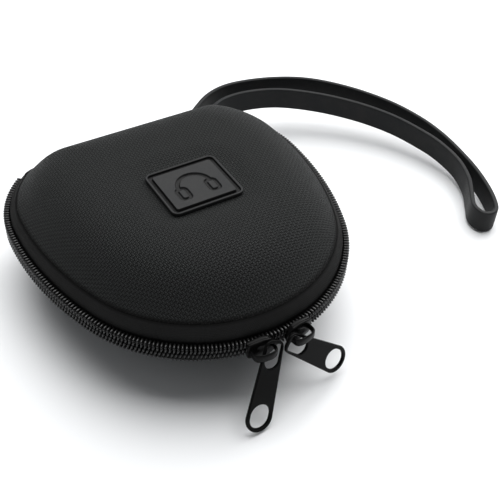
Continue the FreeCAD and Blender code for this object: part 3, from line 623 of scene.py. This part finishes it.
def build_shells():
    """Fabric, core and lining of both shells: depths, spacing, rows and tuck at the crease."""
    layers = (
        ("outer_fabric", "woven_fabric", (0.0, FABRIC), 1.1, 46, 0.55),
        ("moulded_core", "eva_foam", (FABRIC + 0.03, FABRIC + CORE), 2.4, 22, 0.0),
        ("lining", "lining", (FABRIC + CORE + 0.02, FABRIC + CORE + LINING), 1.8, 28, 0.0),
    )
    for side, body in (("upper", "lid"), ("lower", "base")):
        for part, slot, depths, spacing, count, pinch in layers:
            shell_layer(
                f"{side}_{part}_skin", side, body, slot, depths, spacing, count, pinch,
                [f"{side}_{part}"])


# ---------------------------------------------------------------- bands round the case


def band(name, profile, ring, body, slot, replaced=(), closed=False, dark=None):
    """A ribbon of closed section swept round the outline; profile rows are
    (inset, height, share of the lid's slope)."""
    points, normals = ring
    length, around = run_length(points), run_length(profile[:, :2])
    inset, height, slope = profile[:, 0], profile[:, 1], profile[:, 2]
    flat = points[:, None, :] - normals[:, None, :] * inset[None, :, None]
    level = height[None, :] + slope[None, :] * LID_SLOPE * flat[:, :, 1]
    grid = np.concatenate([flat, level[:, :, None]], 2)
    rows, columns = grid.shape[:2]
    cloth = np.stack(np.broadcast_arrays(length[:, None], around[None, :], 0.0), -1)
    faces = tube_faces(rows, columns, closed)
    # dark gives painted shade for the colour in folds, stored as the point attribute edge
    edge = dark(level, grid) if dark else np.zeros(level.shape)
    return make(name, grid.reshape(-1, 3), faces, body, slot, replaced,
                cloth=cloth.reshape(-1, 3) * MM, edge=edge.ravel())


def tape_profile(side):
    """Section of a zip tape: a wall beside the coil, a slope to the crease, a flange."""
    sign, crease, tilt = SIDES[side]
    t = TAPE_THICKNESS
    outer = [
        (TAPE_INSET, SEAM + sign * 0.4, 0), (TAPE_INSET, SEAM + sign * TAPE_STRAIGHT, 0),
        (CREASE_INSET - 0.9, crease - sign * 1.9, tilt * 0.9),
        (CREASE_INSET - 0.15, crease - sign * 0.45, tilt),
        (CREASE_INSET + 0.5, crease - sign * 0.08, tilt),
        (FLANGE_INSET, crease - sign * 0.08, tilt),
    ]
    inner = [
        (FLANGE_INSET, crease - sign * (t + 0.02), tilt),
        (CREASE_INSET + t + 0.3, crease - sign * (t + 0.1), tilt),
        (CREASE_INSET + t - 0.5, crease - sign * (t + 1.6), tilt * 0.9),
        (TAPE_INSET + t, SEAM + sign * TAPE_STRAIGHT, 0), (TAPE_INSET + t, SEAM + sign * 0.4, 0),
    ]
    return fill_in(rounded_loop(outer + inner, 2), 0.8)


def tape_shade(side):
    """Painted shade for the tape: its colour darkens in the fold beside the coil and under the
    crease.
    """
    _, crease, tilt = SIDES[side]

    def shade(level, grid):
        top = np.abs(crease + tilt * LID_SLOPE * grid[:, :, 1] - level)
        low = np.abs(level - SEAM)
        return np.maximum(1 - smoothstep(top, 0.0, 1.0), 1 - smoothstep(low, 3.0, 4.4))

    return shade


def binding_profile(side):
    """Section of the ribbon sewn over the tape's flange inside the case."""
    sign, crease, tilt = SIDES[side]
    near, far = crease - sign * 0.72, crease - sign * 1.3
    corners = [
        (6.2, near, tilt), (7.7, near, tilt), (9.2, near, tilt),
        (9.2, far, tilt), (7.7, far - sign * 0.12, tilt), (6.2, far, tilt),
    ]
    return rounded_loop(corners, 2)


def hinge_profile(inset, thickness):
    """Crease to crease behind the zip's ends, with points filled in close together."""
    shift = inset - TAPE_INSET
    face = [
        (CREASE_INSET + shift + 0.3, BASE_CREASE + 0.1, 0), (inset + 0.9, BASE_CREASE + 1.7, 0),
        (inset, SEAM - TAPE_STRAIGHT, 0), (inset, SEAM + TAPE_STRAIGHT, 0),
        (inset + 0.9, LID_CREASE - 1.7, 1), (CREASE_INSET + shift + 0.3, LID_CREASE - 0.1, 1),
    ]
    back = [(place_in + thickness, level, tilt) for place_in, level, tilt in reversed(face)]
    return fill_in(rounded_loop(face + back, 2), 0.7)


def beads(name, spots, normals, shape, size, body, slot, replaced=()):
    """Many small rounded pieces; shape gives each one's (along, out, up) points."""
    along = np.stack([-normals[:, 1], normals[:, 0]], 1)
    template, template_faces = shape
    local = template * np.array(size)
    count, each = len(spots), len(local)
    grid = np.zeros((count, each, 3))
    grid[:, :, :2] = (
        spots[:, None, :2] + along[:, None, :] * local[None, :, 0:1]
        + normals[:, None, :] * local[None, :, 1:2])
    grid[:, :, 2] = spots[:, None, 2] + local[None, :, 2]
    faces = [
        tuple(index + number * each for index in face)
        for number in range(count) for face in template_faces
    ]
    return make(name, grid.reshape(-1, 3), faces, body, slot, replaced)


def bead_shape(around, tall, power, lean=0.0):
    """A rounded block of unit half size: an ellipsoid pushed towards its box."""
    points, faces = [(0, 0, -1)], []
    for row in range(1, tall):
        polar = math.pi * row / tall
        ring, level = math.sin(polar) ** power, -math.cos(polar)
        level = math.copysign(abs(level) ** power, level)
        for column in range(around):
            turn = 2 * math.pi * column / around
            x = math.copysign(abs(math.cos(turn)) ** power, math.cos(turn))
            y = math.copysign(abs(math.sin(turn)) ** power, math.sin(turn))
            points.append((x * ring + lean * level, y * ring, level))
    points.append((0, 0, 1))
    for column in range(around):
        beside = (column + 1) % around
        faces.append((0, 1 + beside, 1 + column))
        last = 1 + (tall - 2) * around
        faces.append((last + column, last + beside, len(points) - 1))
        for row in range(tall - 2):
            start = 1 + row * around
            faces.append((
                start + column, start + beside, start + around + beside,
                start + around + column))
    return np.array(points, float), faces


def stations(run, pitch, offset=0.0):
    """Evenly spaced places and normals along an open run."""
    points, normals = run
    length = run_length(points)
    at = np.arange(offset + pitch / 2, length[-1] - pitch / 2, pitch)
    spots = np.stack([np.interp(at, length, points[:, axis]) for axis in (0, 1)], 1)
    facing = np.stack([np.interp(at, length, normals[:, axis]) for axis in (0, 1)], 1)
    return spots, unit(facing)


def build_zip():
    """Tapes, coil rows and sewn bindings of both sides, and the two hinge fabrics."""
    ring = outline(0.9)
    run = open_run(ring, behind=False)
    hinge = open_run(ring, behind=True)
    loop, turn = bead_shape(8, 7, 0.8, lean=0.45), bead_shape(8, 6, 0.8)
    stitch = bead_shape(6, 5, 0.8)
    for side, body in (("upper", "lid"), ("lower", "base")):
        sign, crease, tilt = SIDES[side]
        band(f"{side}_tape", tape_profile(side), run, body, "zip_tape",
             [f"{side}_zip_tape"], dark=tape_shade(side))
        spots, facing = stations(run, TOOTH_PITCH, 0.0 if side == "upper" else TOOTH_PITCH / 2)
        rows = (
            ("coil", loop, 1.25, 0.98, (0.5, 1.3, 1.12), [f"{side}_zip_coil"]),
            ("coil_turns", turn, 1.15, 2.42, (0.46, 1.36, 0.66), ()),
        )
        for part, shape, depth, rise, size, replaced in rows:
            level = np.full((len(spots), 1), SEAM + sign * rise)
            beads(f"{side}_{part}", np.hstack([spots - facing * depth, level]), facing, shape,
                  size, body, "nylon_coil", replaced)
        band(f"{side}_binding", binding_profile(side), outline(1.6), body, "binding",
             [f"{side}_inner_binding"], closed=True)
        sewn, sewn_facing = stations(outline(1.0), STITCH_PITCH)
        sewn = sewn - sewn_facing * STITCH_INSET
        thread_level = crease - sign * STITCH_DROP + tilt * LID_SLOPE * sewn[:, 1:2]
        beads(f"{side}_binding_stitches", np.hstack([sewn, thread_level]), sewn_facing, stitch,
              (1.05, 0.2, 0.16), body, "stitch_thread")
    pieces = (
        ("hinge_fabric", hinge_profile(TAPE_INSET, TAPE_THICKNESS), "zip_tape",
         "hinge_outer_fabric"),
        ("hinge_lining", hinge_profile(TAPE_INSET + 0.65, 0.5), "lining", "hinge_inner_lining"),
    )
    for name, profile, slot, node in pieces:
        piece = band(name, profile, hinge, None, slot, [node])
        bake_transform(piece)


# ---------------------------------------------------------------- badge


def rounded_rectangle(width, depth, corner, per_corner=8):
    """Points and normals of a centred rectangle with round corners."""
    points, normals = [], []
    for number, (sx, sy) in enumerate(((1, 1), (-1, 1), (-1, -1), (1, -1))):
        middle = np.array([sx * (width / 2 - corner), sy * (depth / 2 - corner)])
        for step in range(per_corner + 1):
            turn = (number + step / per_corner) * math.pi / 2
            normal = np.array([math.cos(turn), math.sin(turn)])
            points.append(middle + corner * normal)
            normals.append(normal)
    return np.array(points), np.array(normals)


def box_distance(x, y, centre, half, corner):
    """Signed distance to a rounded box, negative inside."""
    dx = np.abs(x - centre[0]) - half[0] + corner
    dy = np.abs(y - centre[1]) - half[1] + corner
    outside = np.hypot(np.maximum(dx, 0), np.maximum(dy, 0))
    return outside + np.minimum(np.maximum(dx, dy), 0) - corner


def emblem_distance(x, y):
    """Distance from a plain headphone sign: a bow and two ear pads."""
    bow = np.abs(np.hypot(x, y + 0.6) - 6.0)
    ends = np.hypot(np.abs(x) - 6.0, y + 0.6)
    bow = np.where(y > -0.6, bow, ends)
    pads = box_distance(np.abs(x), y, (5.6, -3.2), (1.7, 2.9), 1.3)
    return np.minimum(bow - 0.7, np.abs(pads) - 0.6)


def on_lid(points):
    """Flat points about the badge's middle, moved to the lid's top and its slope."""
    middle = np.array([0.0, BADGE_Y, LID_CREASE + BADGE_LEVEL + LID_SLOPE * BADGE_Y])
    return points + middle + points[:, 1:2] * np.array([0, 0, LID_SLOPE])


def badge_frame():
    """The raised rim and the channel inside it; section rows are (inset, up)."""
    points, normals = rounded_rectangle(*BADGE_SIZE, BADGE_CORNER)
    section = np.array([
        (0.12, 0.02), (0.0, 0.12), (0.0, 1.0), (0.06, 1.12), (0.2, 1.2), (0.6, 1.2),
        (0.74, 1.13), (0.8, 1.0), (0.86, 0.3), (1.0, BADGE_FLOOR), (2.55, BADGE_FLOOR),
        (2.55, 0.02),
    ])
    flat = points[:, None, :] - normals[:, None, :] * section[None, :, 0:1]
    level = np.broadcast_to(section[None, :, 1], flat.shape[:2])
    grid = np.concatenate([flat, level[:, :, None]], 2).reshape(-1, 3)
    rows, columns = len(points), len(section)
    faces = grid_faces(rows, columns, wrap_rows=True, wrap_columns=True)
    # painted shade: darker down the rim's inner wall and over the channel's floor
    groove = np.tile([0, 0, 0, 0, 0, 0, 0, 0.3, 0.95, 1, 1, 0], rows)
    make("badge_frame", on_lid(grid), faces, "lid", "badge_rubber", ["badge"], sharp=35,
         groove=groove)


def badge_field():
    """The raised middle with the sign cut into it, as a closed block."""
    half = np.array(BADGE_SIZE) / 2 - BADGE_BORDER
    xs = np.linspace(-half[0], half[0], 150)
    ys = np.linspace(-half[1], half[1], 130)
    x, y = np.meshgrid(xs, ys)
    inside = -box_distance(x, y, (0, 0), half, 1.0)
    field = BADGE_FLOOR + 0.9 * smoothstep(inside, 0.03, 0.3)
    sign = emblem_distance(x, y)
    cut = 1 - smoothstep(sign, -0.12, 0.22)
    top = field - 0.6 * cut
    # painted shade: darker in the cut sign and along the foot of the raised middle
    shade = 0.95 * (1 - smoothstep(sign, -0.15, 0.15)) + 0.9 * (1 - smoothstep(inside, 0.05, 0.3))
    surface = np.stack([x, y, top], -1).reshape(-1, 3)
    under = np.stack([x, y, np.full_like(x, 0.1)], -1).reshape(-1, 3)
    count_y, count_x = x.shape
    faces = grid_faces(count_y, count_x)
    faces += grid_faces(count_y, count_x, start=len(surface))
    border = (
        [(0, c) for c in range(count_x - 1)] + [(r, count_x - 1) for r in range(count_y - 1)]
        + [(count_y - 1, c) for c in range(count_x - 1, 0, -1)]
        + [(r, 0) for r in range(count_y - 1, 0, -1)]
    )
    rim = [r * count_x + c for r, c in border]
    for first, second in zip(rim, rim[1:] + rim[:1]):
        faces.append((first, second, second + len(surface), first + len(surface)))
    make("badge_field", on_lid(np.concatenate([surface, under])), faces, "lid",
         "badge_rubber", sharp=40,
         groove=np.concatenate([np.clip(shade, 0, 1).ravel(), np.zeros(x.size)]))


# ---------------------------------------------------------------- swept pieces


def sweep(path, sides, ups, section, closed=False):
    """Points and faces of a section carried along a path. section is (across, up) rows;
    sides, ups and section may each be one for the whole path or one per place on it."""
    path = np.asarray(path, float)
    sides, ups = (np.broadcast_to(np.asarray(a, float), path.shape) for a in (sides, ups))
    section = np.asarray(section, float)
    if section.ndim == 2:
        section = np.broadcast_to(section, (len(path),) + section.shape)
    grid = (
        path[:, None, :] + sides[:, None, :] * section[:, :, 0:1]
        + ups[:, None, :] * section[:, :, 1:2])
    return grid.reshape(-1, 3), tube_faces(*grid.shape[:2], closed)


def smooth_path(points, steps, closed):
    """Catmull-Rom points through the given ones."""
    points = np.array(points, float)
    count = len(points)
    if closed:
        padded = np.concatenate([points[-1:], points, points[:2]])
    else:
        padded = np.concatenate([
            2 * points[:1] - points[1:2], points, 2 * points[-1:] - points[-2:-1]])
    out = []
    for number in range(count if closed else count - 1):
        a, b, c, d = padded[number:number + 4]
        for step in range(steps):
            t = step / steps
            out.append(0.5 * (
                2 * b + (c - a) * t + (2 * a - 5 * b + 4 * c - d) * t * t
                + (3 * b - a - 3 * c + d) * t ** 3))
    if not closed:
        out.append(points[-1])
    return np.array(out)


# the middle of the strap's band seen from above: from the pin out along the far run, round
# the tip and back along the near run
STRAP_LOOP = [
    (38.2, 74.2), (50.5, 82.4), (64.0, 85.2), (83.0, 82.2), (99.7, 75.0), (114.2, 62.2),
    (125.4, 46.8), (131.6, 32.0), (134.0, 19.0), (134.0, 6.0), (132.4, -8.0), (128.6, -21.0),
    (123.6, -29.2), (117.8, -29.2), (116.6, -23.6), (120.8, -17.0), (126.0, -9.0),
    (129.4, 2.0), (129.0, 15.0), (125.6, 26.6), (120.2, 38.4), (111.0, 51.0), (98.0, 63.4),
    (82.6, 73.2), (68.0, 77.2), (55.0, 76.8), (44.6, 71.8), (38.6, 66.9),
]


def build_strap():
    """The rubber band: one moulded loop, standing on its edge, round the anchor's pin."""
    bend = PIN_RADIUS + PIN_CLEARANCE + STRAP_THICKNESS / 2
    round_pin = [
        (STRAP_PIN[0] + bend * math.cos(math.radians(turn)),
         STRAP_PIN[1] + bend * math.sin(math.radians(turn)))
        for turn in (310, 265, 220, 175, 130)
    ]
    path = smooth_path(STRAP_LOOP + round_pin, 10, True)
    along = unit(np.roll(path, -1, 0) - np.roll(path, 1, 0))
    across = np.column_stack([-along[:, 1], along[:, 0], np.zeros(len(path))])
    top = STRAP_LEVEL + STRAP_SLOPE[0] * path[:, 0] + STRAP_SLOPE[1] * path[:, 1]
    middle = np.column_stack([path, top - STRAP_WIDTH / 2])
    corners, _ = rounded_rectangle(STRAP_THICKNESS, STRAP_WIDTH, 0.55, 5)
    points, faces = sweep(middle, across, (0, 0, 1), fill_in(corners, 1.6), closed=True)
    make("wrist_strap_band", points, faces, "strap", "strap_rubber", ["wrist_strap"])


def joined(parts):
    """Several (points, faces) as one."""
    points, faces, start = [], [], 0
    for some, its_faces in parts:
        points.append(np.asarray(some))
        faces += [tuple(index + start for index in face) for face in its_faces]
        start += len(some)
    return np.concatenate(points), faces


def rounded_box(low, high, edge):
    """A block with rounded edges, swept along its Z."""
    low, high = np.array(low, float), np.array(high, float)
    size, centre = high - low, (low + high) / 2
    steps = [(0, 1), (0.3, 0.55), (0.65, 0.2), (1, 0)]
    levels = [low[2] + edge * a for a, _ in steps] + [high[2] - edge * a for a, _ in steps[::-1]]
    insets = [edge * b for _, b in steps] + [edge * b for _, b in steps[::-1]]
    sections = []
    for inset in insets:
        flat, normals = rounded_rectangle(size[0], size[1], edge * 1.2, 4)
        sections.append(flat - normals * inset)
    path = [(centre[0], centre[1], level) for level in levels]
    return sweep(path, (1, 0, 0), (0, 1, 0), np.array(sections))


def build_anchor():
    """Moulded bracket for the strap: plate, foot, two arms and a headed pin."""
    x, y = STRAP_PIN
    left, right = x - 4.5, x + 4.5
    r = PIN_RADIUS
    parts = [
        rounded_box((left, 60.0, 9.6), (right, 61.4, 23.0), 0.4),
        rounded_box((left + 0.1, 52.5, 9.8), (right - 0.1, 61.0, 15.5), 0.5),
        rounded_box((left, 60.1, 9.6), (right, 68.3, 10.6), 0.35),
        rounded_box((left, 60.1, 22.0), (right, 68.3, 23.0), 0.35),
    ]
    turns = np.linspace(0, 2 * math.pi, 24, endpoint=False)
    circle = np.stack([np.cos(turns), np.sin(turns)], 1)
    shape = [(9.5, r), (22.9, r), (22.95, 2.0), (23.15, 2.0), (23.35, 1.6), (23.4, 0.9)]
    path = [(x, y, level) for level, _ in shape]
    sections = np.array([circle * radius for _, radius in shape])
    parts.append(sweep(path, (1, 0, 0), (0, 1, 0), sections))
    points, faces = joined(parts)
    make("strap_bracket", points, faces, "base", "anchor_plastic", ["strap_anchor"], sharp=40)


# ---------------------------------------------------------------- sliders and pulls


def hull_loop(circles, count=72):
    """The outline round a set of (x, y, radius) circles."""
    loop = []
    for number in range(count):
        turn = 2 * math.pi * (number + 0.5) / count
        way = np.array([math.cos(turn), math.sin(turn)])
        x, y, radius = max(circles, key=lambda c: c[0] * way[0] + c[1] * way[1] + c[2])
        point = np.array([x, y]) + radius * way
        if not loop or np.linalg.norm(point - loop[-1]) > 1e-4:
            loop.append(point)
    return loop


def plate(loops, thickness, bevel):
    """A flat plate with holes and rounded edges, as a mesh in mm about its mid-plane."""
    data = bpy.data.curves.new("plate", "CURVE")
    data.dimensions, data.fill_mode = "2D", "BOTH"
    data.extrude = thickness / 2 - bevel
    data.bevel_depth, data.bevel_resolution = bevel, 3
    data.offset = -bevel
    for loop in loops:
        spline = data.splines.new("POLY")
        spline.points.add(len(loop) - 1)
        for point, (x, y) in zip(spline.points, loop):
            point.co = (x, y, 0, 1)
        spline.use_cyclic_u = True
    holder = bpy.data.objects.new("plate", data)
    mesh = bpy.data.meshes.new_from_object(holder)
    bpy.data.objects.remove(holder)
    return mesh


def sliced(mesh, positions):
    """Cuts a mesh across X so that it can be bent."""
    edit = bmesh.new()
    edit.from_mesh(mesh)
    for position in positions:
        bmesh.ops.bisect_plane(
            edit, geom=edit.verts[:] + edit.edges[:] + edit.faces[:],
            plane_co=(position, 0, 0), plane_no=(1, 0, 0))
    bmesh.ops.remove_doubles(edit, verts=edit.verts, dist=1e-4)
    edit.to_mesh(mesh)
    edit.free()


def wrap_on_chain(points, angle, radius):
    """Bends flat (along, up, out) points round the front arc at a slider's angle."""
    turns = math.radians(angle) + points[:, 0] / radius
    reach = radius + points[:, 2]
    return np.stack([
        np.sin(turns) * reach, -np.cos(turns) * reach, SEAM + points[:, 1]], 1)


def mesh_points(mesh):
    """A mesh's points as rows."""
    flat = np.zeros(len(mesh.vertices) * 3)
    mesh.vertices.foreach_get("co", flat)
    return flat.reshape(-1, 3)


def set_mesh_points(mesh, points):
    """Gives a mesh its points again, from mm."""
    mesh.vertices.foreach_set("co", (points * MM).ravel())
    mesh.update()


def nose(side):
    """Which way along the chain a slider's rounded nose points: the two noses meet."""
    return 1 if side == "left" else -1


def slider_face(side):
    """The slider's front plate: a shield with a square tail and a rounded nose."""
    way = nose(side)
    corner = 0.9
    circles = [
        (way * (x + (0.7 if x < -4 else 0.0)), sign * (z - corner), corner)
        for x, z in SHOULDER for sign in (1, -1)
    ]
    mesh = plate([hull_loop(circles + [(way * 4.6, 0, 1.0)], 120)], 0.9, 0.3)
    sliced(mesh, BEND_CUTS)
    points = mesh_points(mesh)
    dome = 1 - np.clip((points[:, 0] / 6.0) ** 2 + (points[:, 1] / 4.6) ** 2, 0, 1)
    points[:, 2] += np.where(points[:, 2] > 0, 0.35 * dome, 0)
    set_mesh_points(mesh, wrap_on_chain(points, SLIDER_ANGLES[side], FACE_RADIUS))
    return place(f"slider_face_{side}", mesh, f"slider_{side}", "slider_enamel",
                 [f"slider_body_{side}"], sharp=35)


def slider_rest(side):
    """The slider's edges that wrap the coil, its post and its plate inside the case."""
    way = nose(side)
    flat = smooth_path([(way * x, z - 0.35) for x, z in SHOULDER], 4, False)
    corners, _ = rounded_rectangle(0.55, 1.5, 0.22, 3)
    parts = []
    for sign in (1, -1):
        middle = np.column_stack([flat[:, 0], sign * flat[:, 1], np.full(len(flat), -0.95)])
        parts.append(sweep(middle, (0, 1, 0), (0, 0, 1), corners))
    parts.append(rounded_box((-1.2, -0.24, -5.0), (1.2, 0.24, -0.2), 0.12))
    points, faces = joined(parts)
    inside = plate([hull_loop([
        (way * x, sign * (z - 0.9), 0.9) for x, z in SHOULDER[:4] for sign in (1, -1)
    ], 96)], 1.0, 0.3)
    sliced(inside, BEND_CUTS)
    back = mesh_points(inside)
    back[:, 2] -= FACE_RADIUS - INSIDE_RADIUS
    back_faces = [tuple(face.vertices) for face in inside.polygons]
    points, faces = joined([(points, faces), (back, back_faces)])
    points = wrap_on_chain(points, SLIDER_ANGLES[side], FACE_RADIUS)
    return make(f"slider_wrap_{side}", points, faces, f"slider_{side}", "slider_enamel",
                sharp=40)


def slider_bridge(side):
    """The arch that keeps the pull: a bowed strip, wider over its roof."""
    half = [
        (4.2, 0.0), (4.05, 1.4), (3.75, 2.7), (3.2, 3.6), (2.4, 4.05), (1.3, 4.25), (0.0, 4.3),
    ]
    arch = [(-x, r) for x, r in half] + [(x, r) for x, r in half[-2::-1]]
    path = smooth_path(arch, 5, False)
    along = unit(np.gradient(path, axis=0))
    out = np.stack([-along[:, 1], along[:, 0]], 1)
    share = smoothstep(path[:, 1], 1.5, 4.2)
    corners, _ = rounded_rectangle(2.0, 2.0, 0.75, 4)
    sections = [corners * np.array([(1.1 + 0.6 * s), 0.42]) for s in share]
    middle = np.column_stack([path[:, 0], np.zeros(len(path)), path[:, 1]])
    ups = np.column_stack([out[:, 0], np.zeros(len(path)), out[:, 1]])
    points, faces = sweep(middle, (0, 1, 0), ups, np.array(sections))
    points = wrap_on_chain(points, SLIDER_ANGLES[side], FACE_RADIUS)
    return make(f"slider_bridge_{side}", points, faces, f"slider_{side}", "slider_enamel",
                [f"slider_crown_{side}"])


def pull_tab(side):
    """Long pull: a D-shaped eye round the bridge's leg and an oval finger hole."""
    outer = hull_loop([(0, 0, 5.1), (1.0, 24.1, 2.6), (-1.0, 24.1, 2.6)], 120)
    hole = hull_loop([(0, 0, 3.7), (0, 1.0, 3.7)], 64)
    eye = hull_loop([(0, 19.65, 2.75), (1.85, 24.5, 0.9), (-1.85, 24.5, 0.9)], 64)
    mesh = plate([outer, hole, eye], 1.1, 0.34)
    points = mesh_points(mesh)
    along_pull, across, leg_x, leg_y = TAB_LIE[side]
    turn = math.radians(SLIDER_ANGLES[side])
    axes = np.array([
        (math.cos(turn), math.sin(turn), 0), (math.sin(turn), -math.cos(turn), 0), (0, 0, 1)])
    y_axis = -np.array(along_pull) @ axes
    y_axis /= np.linalg.norm(y_axis)
    x_axis = np.array(across) @ axes
    x_axis -= y_axis * (x_axis @ y_axis)
    x_axis /= np.linalg.norm(x_axis)
    z_axis = np.cross(x_axis, y_axis)
    joint = next(j for j in frame["joints"] if j["name"] == f"{side}_pull_swing")
    leg = np.array(joint["pos_m"]) / MM
    origin = leg - x_axis * leg_x - y_axis * leg_y
    set_mesh_points(mesh, origin + points @ np.array([x_axis, y_axis, z_axis]))
    return place(f"pull_{side}_plate", mesh, f"pull_{side}", "slider_enamel",
                 [f"pull_tab_{side}"], sharp=40)


def build_sliders():
    """Both sliders with their bridges and pulls."""
    for side in ("left", "right"):
        slider_face(side)
        slider_rest(side)
        slider_bridge(side)
        pull_tab(side)


# ---------------------------------------------------------------- surroundings


FLOOR_REACH, FLOOR_COLOUR = 3.0, (0.86, 0.87, 0.88, 1)
WORLD_COLOUR, WORLD_STRENGTH = (0.96, 0.98, 1, 1), 0.2
# each lamp's name, place and size in metres, and power in watts
LIGHTS = (
    ("softbox", (0.31, 0.42, 1.02), 1.5, 28.0),
    ("window", (0.90, 0.30, 0.42), 0.5, 3.2),
)


def build_stage():
    """A plain pale floor, a dim even sky and two soft lamps."""
    mesh = bpy.data.meshes.new("floor")
    reach = FLOOR_REACH
    mesh.from_pydata(
        [(-reach, -reach, 0), (reach, -reach, 0), (reach, reach, 0), (-reach, reach, 0)], [],
        [(0, 1, 2, 3)])
    n = Nodes("floor")
    n.finish(FLOOR_COLOUR, 0.6)
    mesh.materials.append(n.material)
    floor = bpy.data.objects.new("floor", mesh)
    bpy.context.collection.objects.link(floor)

    world = bpy.data.worlds.new("studio")
    bpy.context.scene.world = world
    world.use_nodes = True
    background = world.node_tree.nodes["Background"]
    background.inputs["Color"].default_value = WORLD_COLOUR
    background.inputs["Strength"].default_value = WORLD_STRENGTH
    for name, spot, size, power in LIGHTS:
        data = bpy.data.lights.new(name, "AREA")
        data.size, data.energy = size, power
        light = bpy.data.objects.new(name, data)
        light.location = spot
        light.rotation_mode = "QUATERNION"
        light.rotation_quaternion = (
            Vector(spot) - Vector((0, 0, 0.03))).to_track_quat("Z", "Y")
        bpy.context.collection.objects.link(light)
    bpy.context.scene.view_settings.view_transform = "Standard"


build_shells()
build_zip()
badge_frame()
badge_field()
build_strap()
build_anchor()
build_sliders()
build_stage()
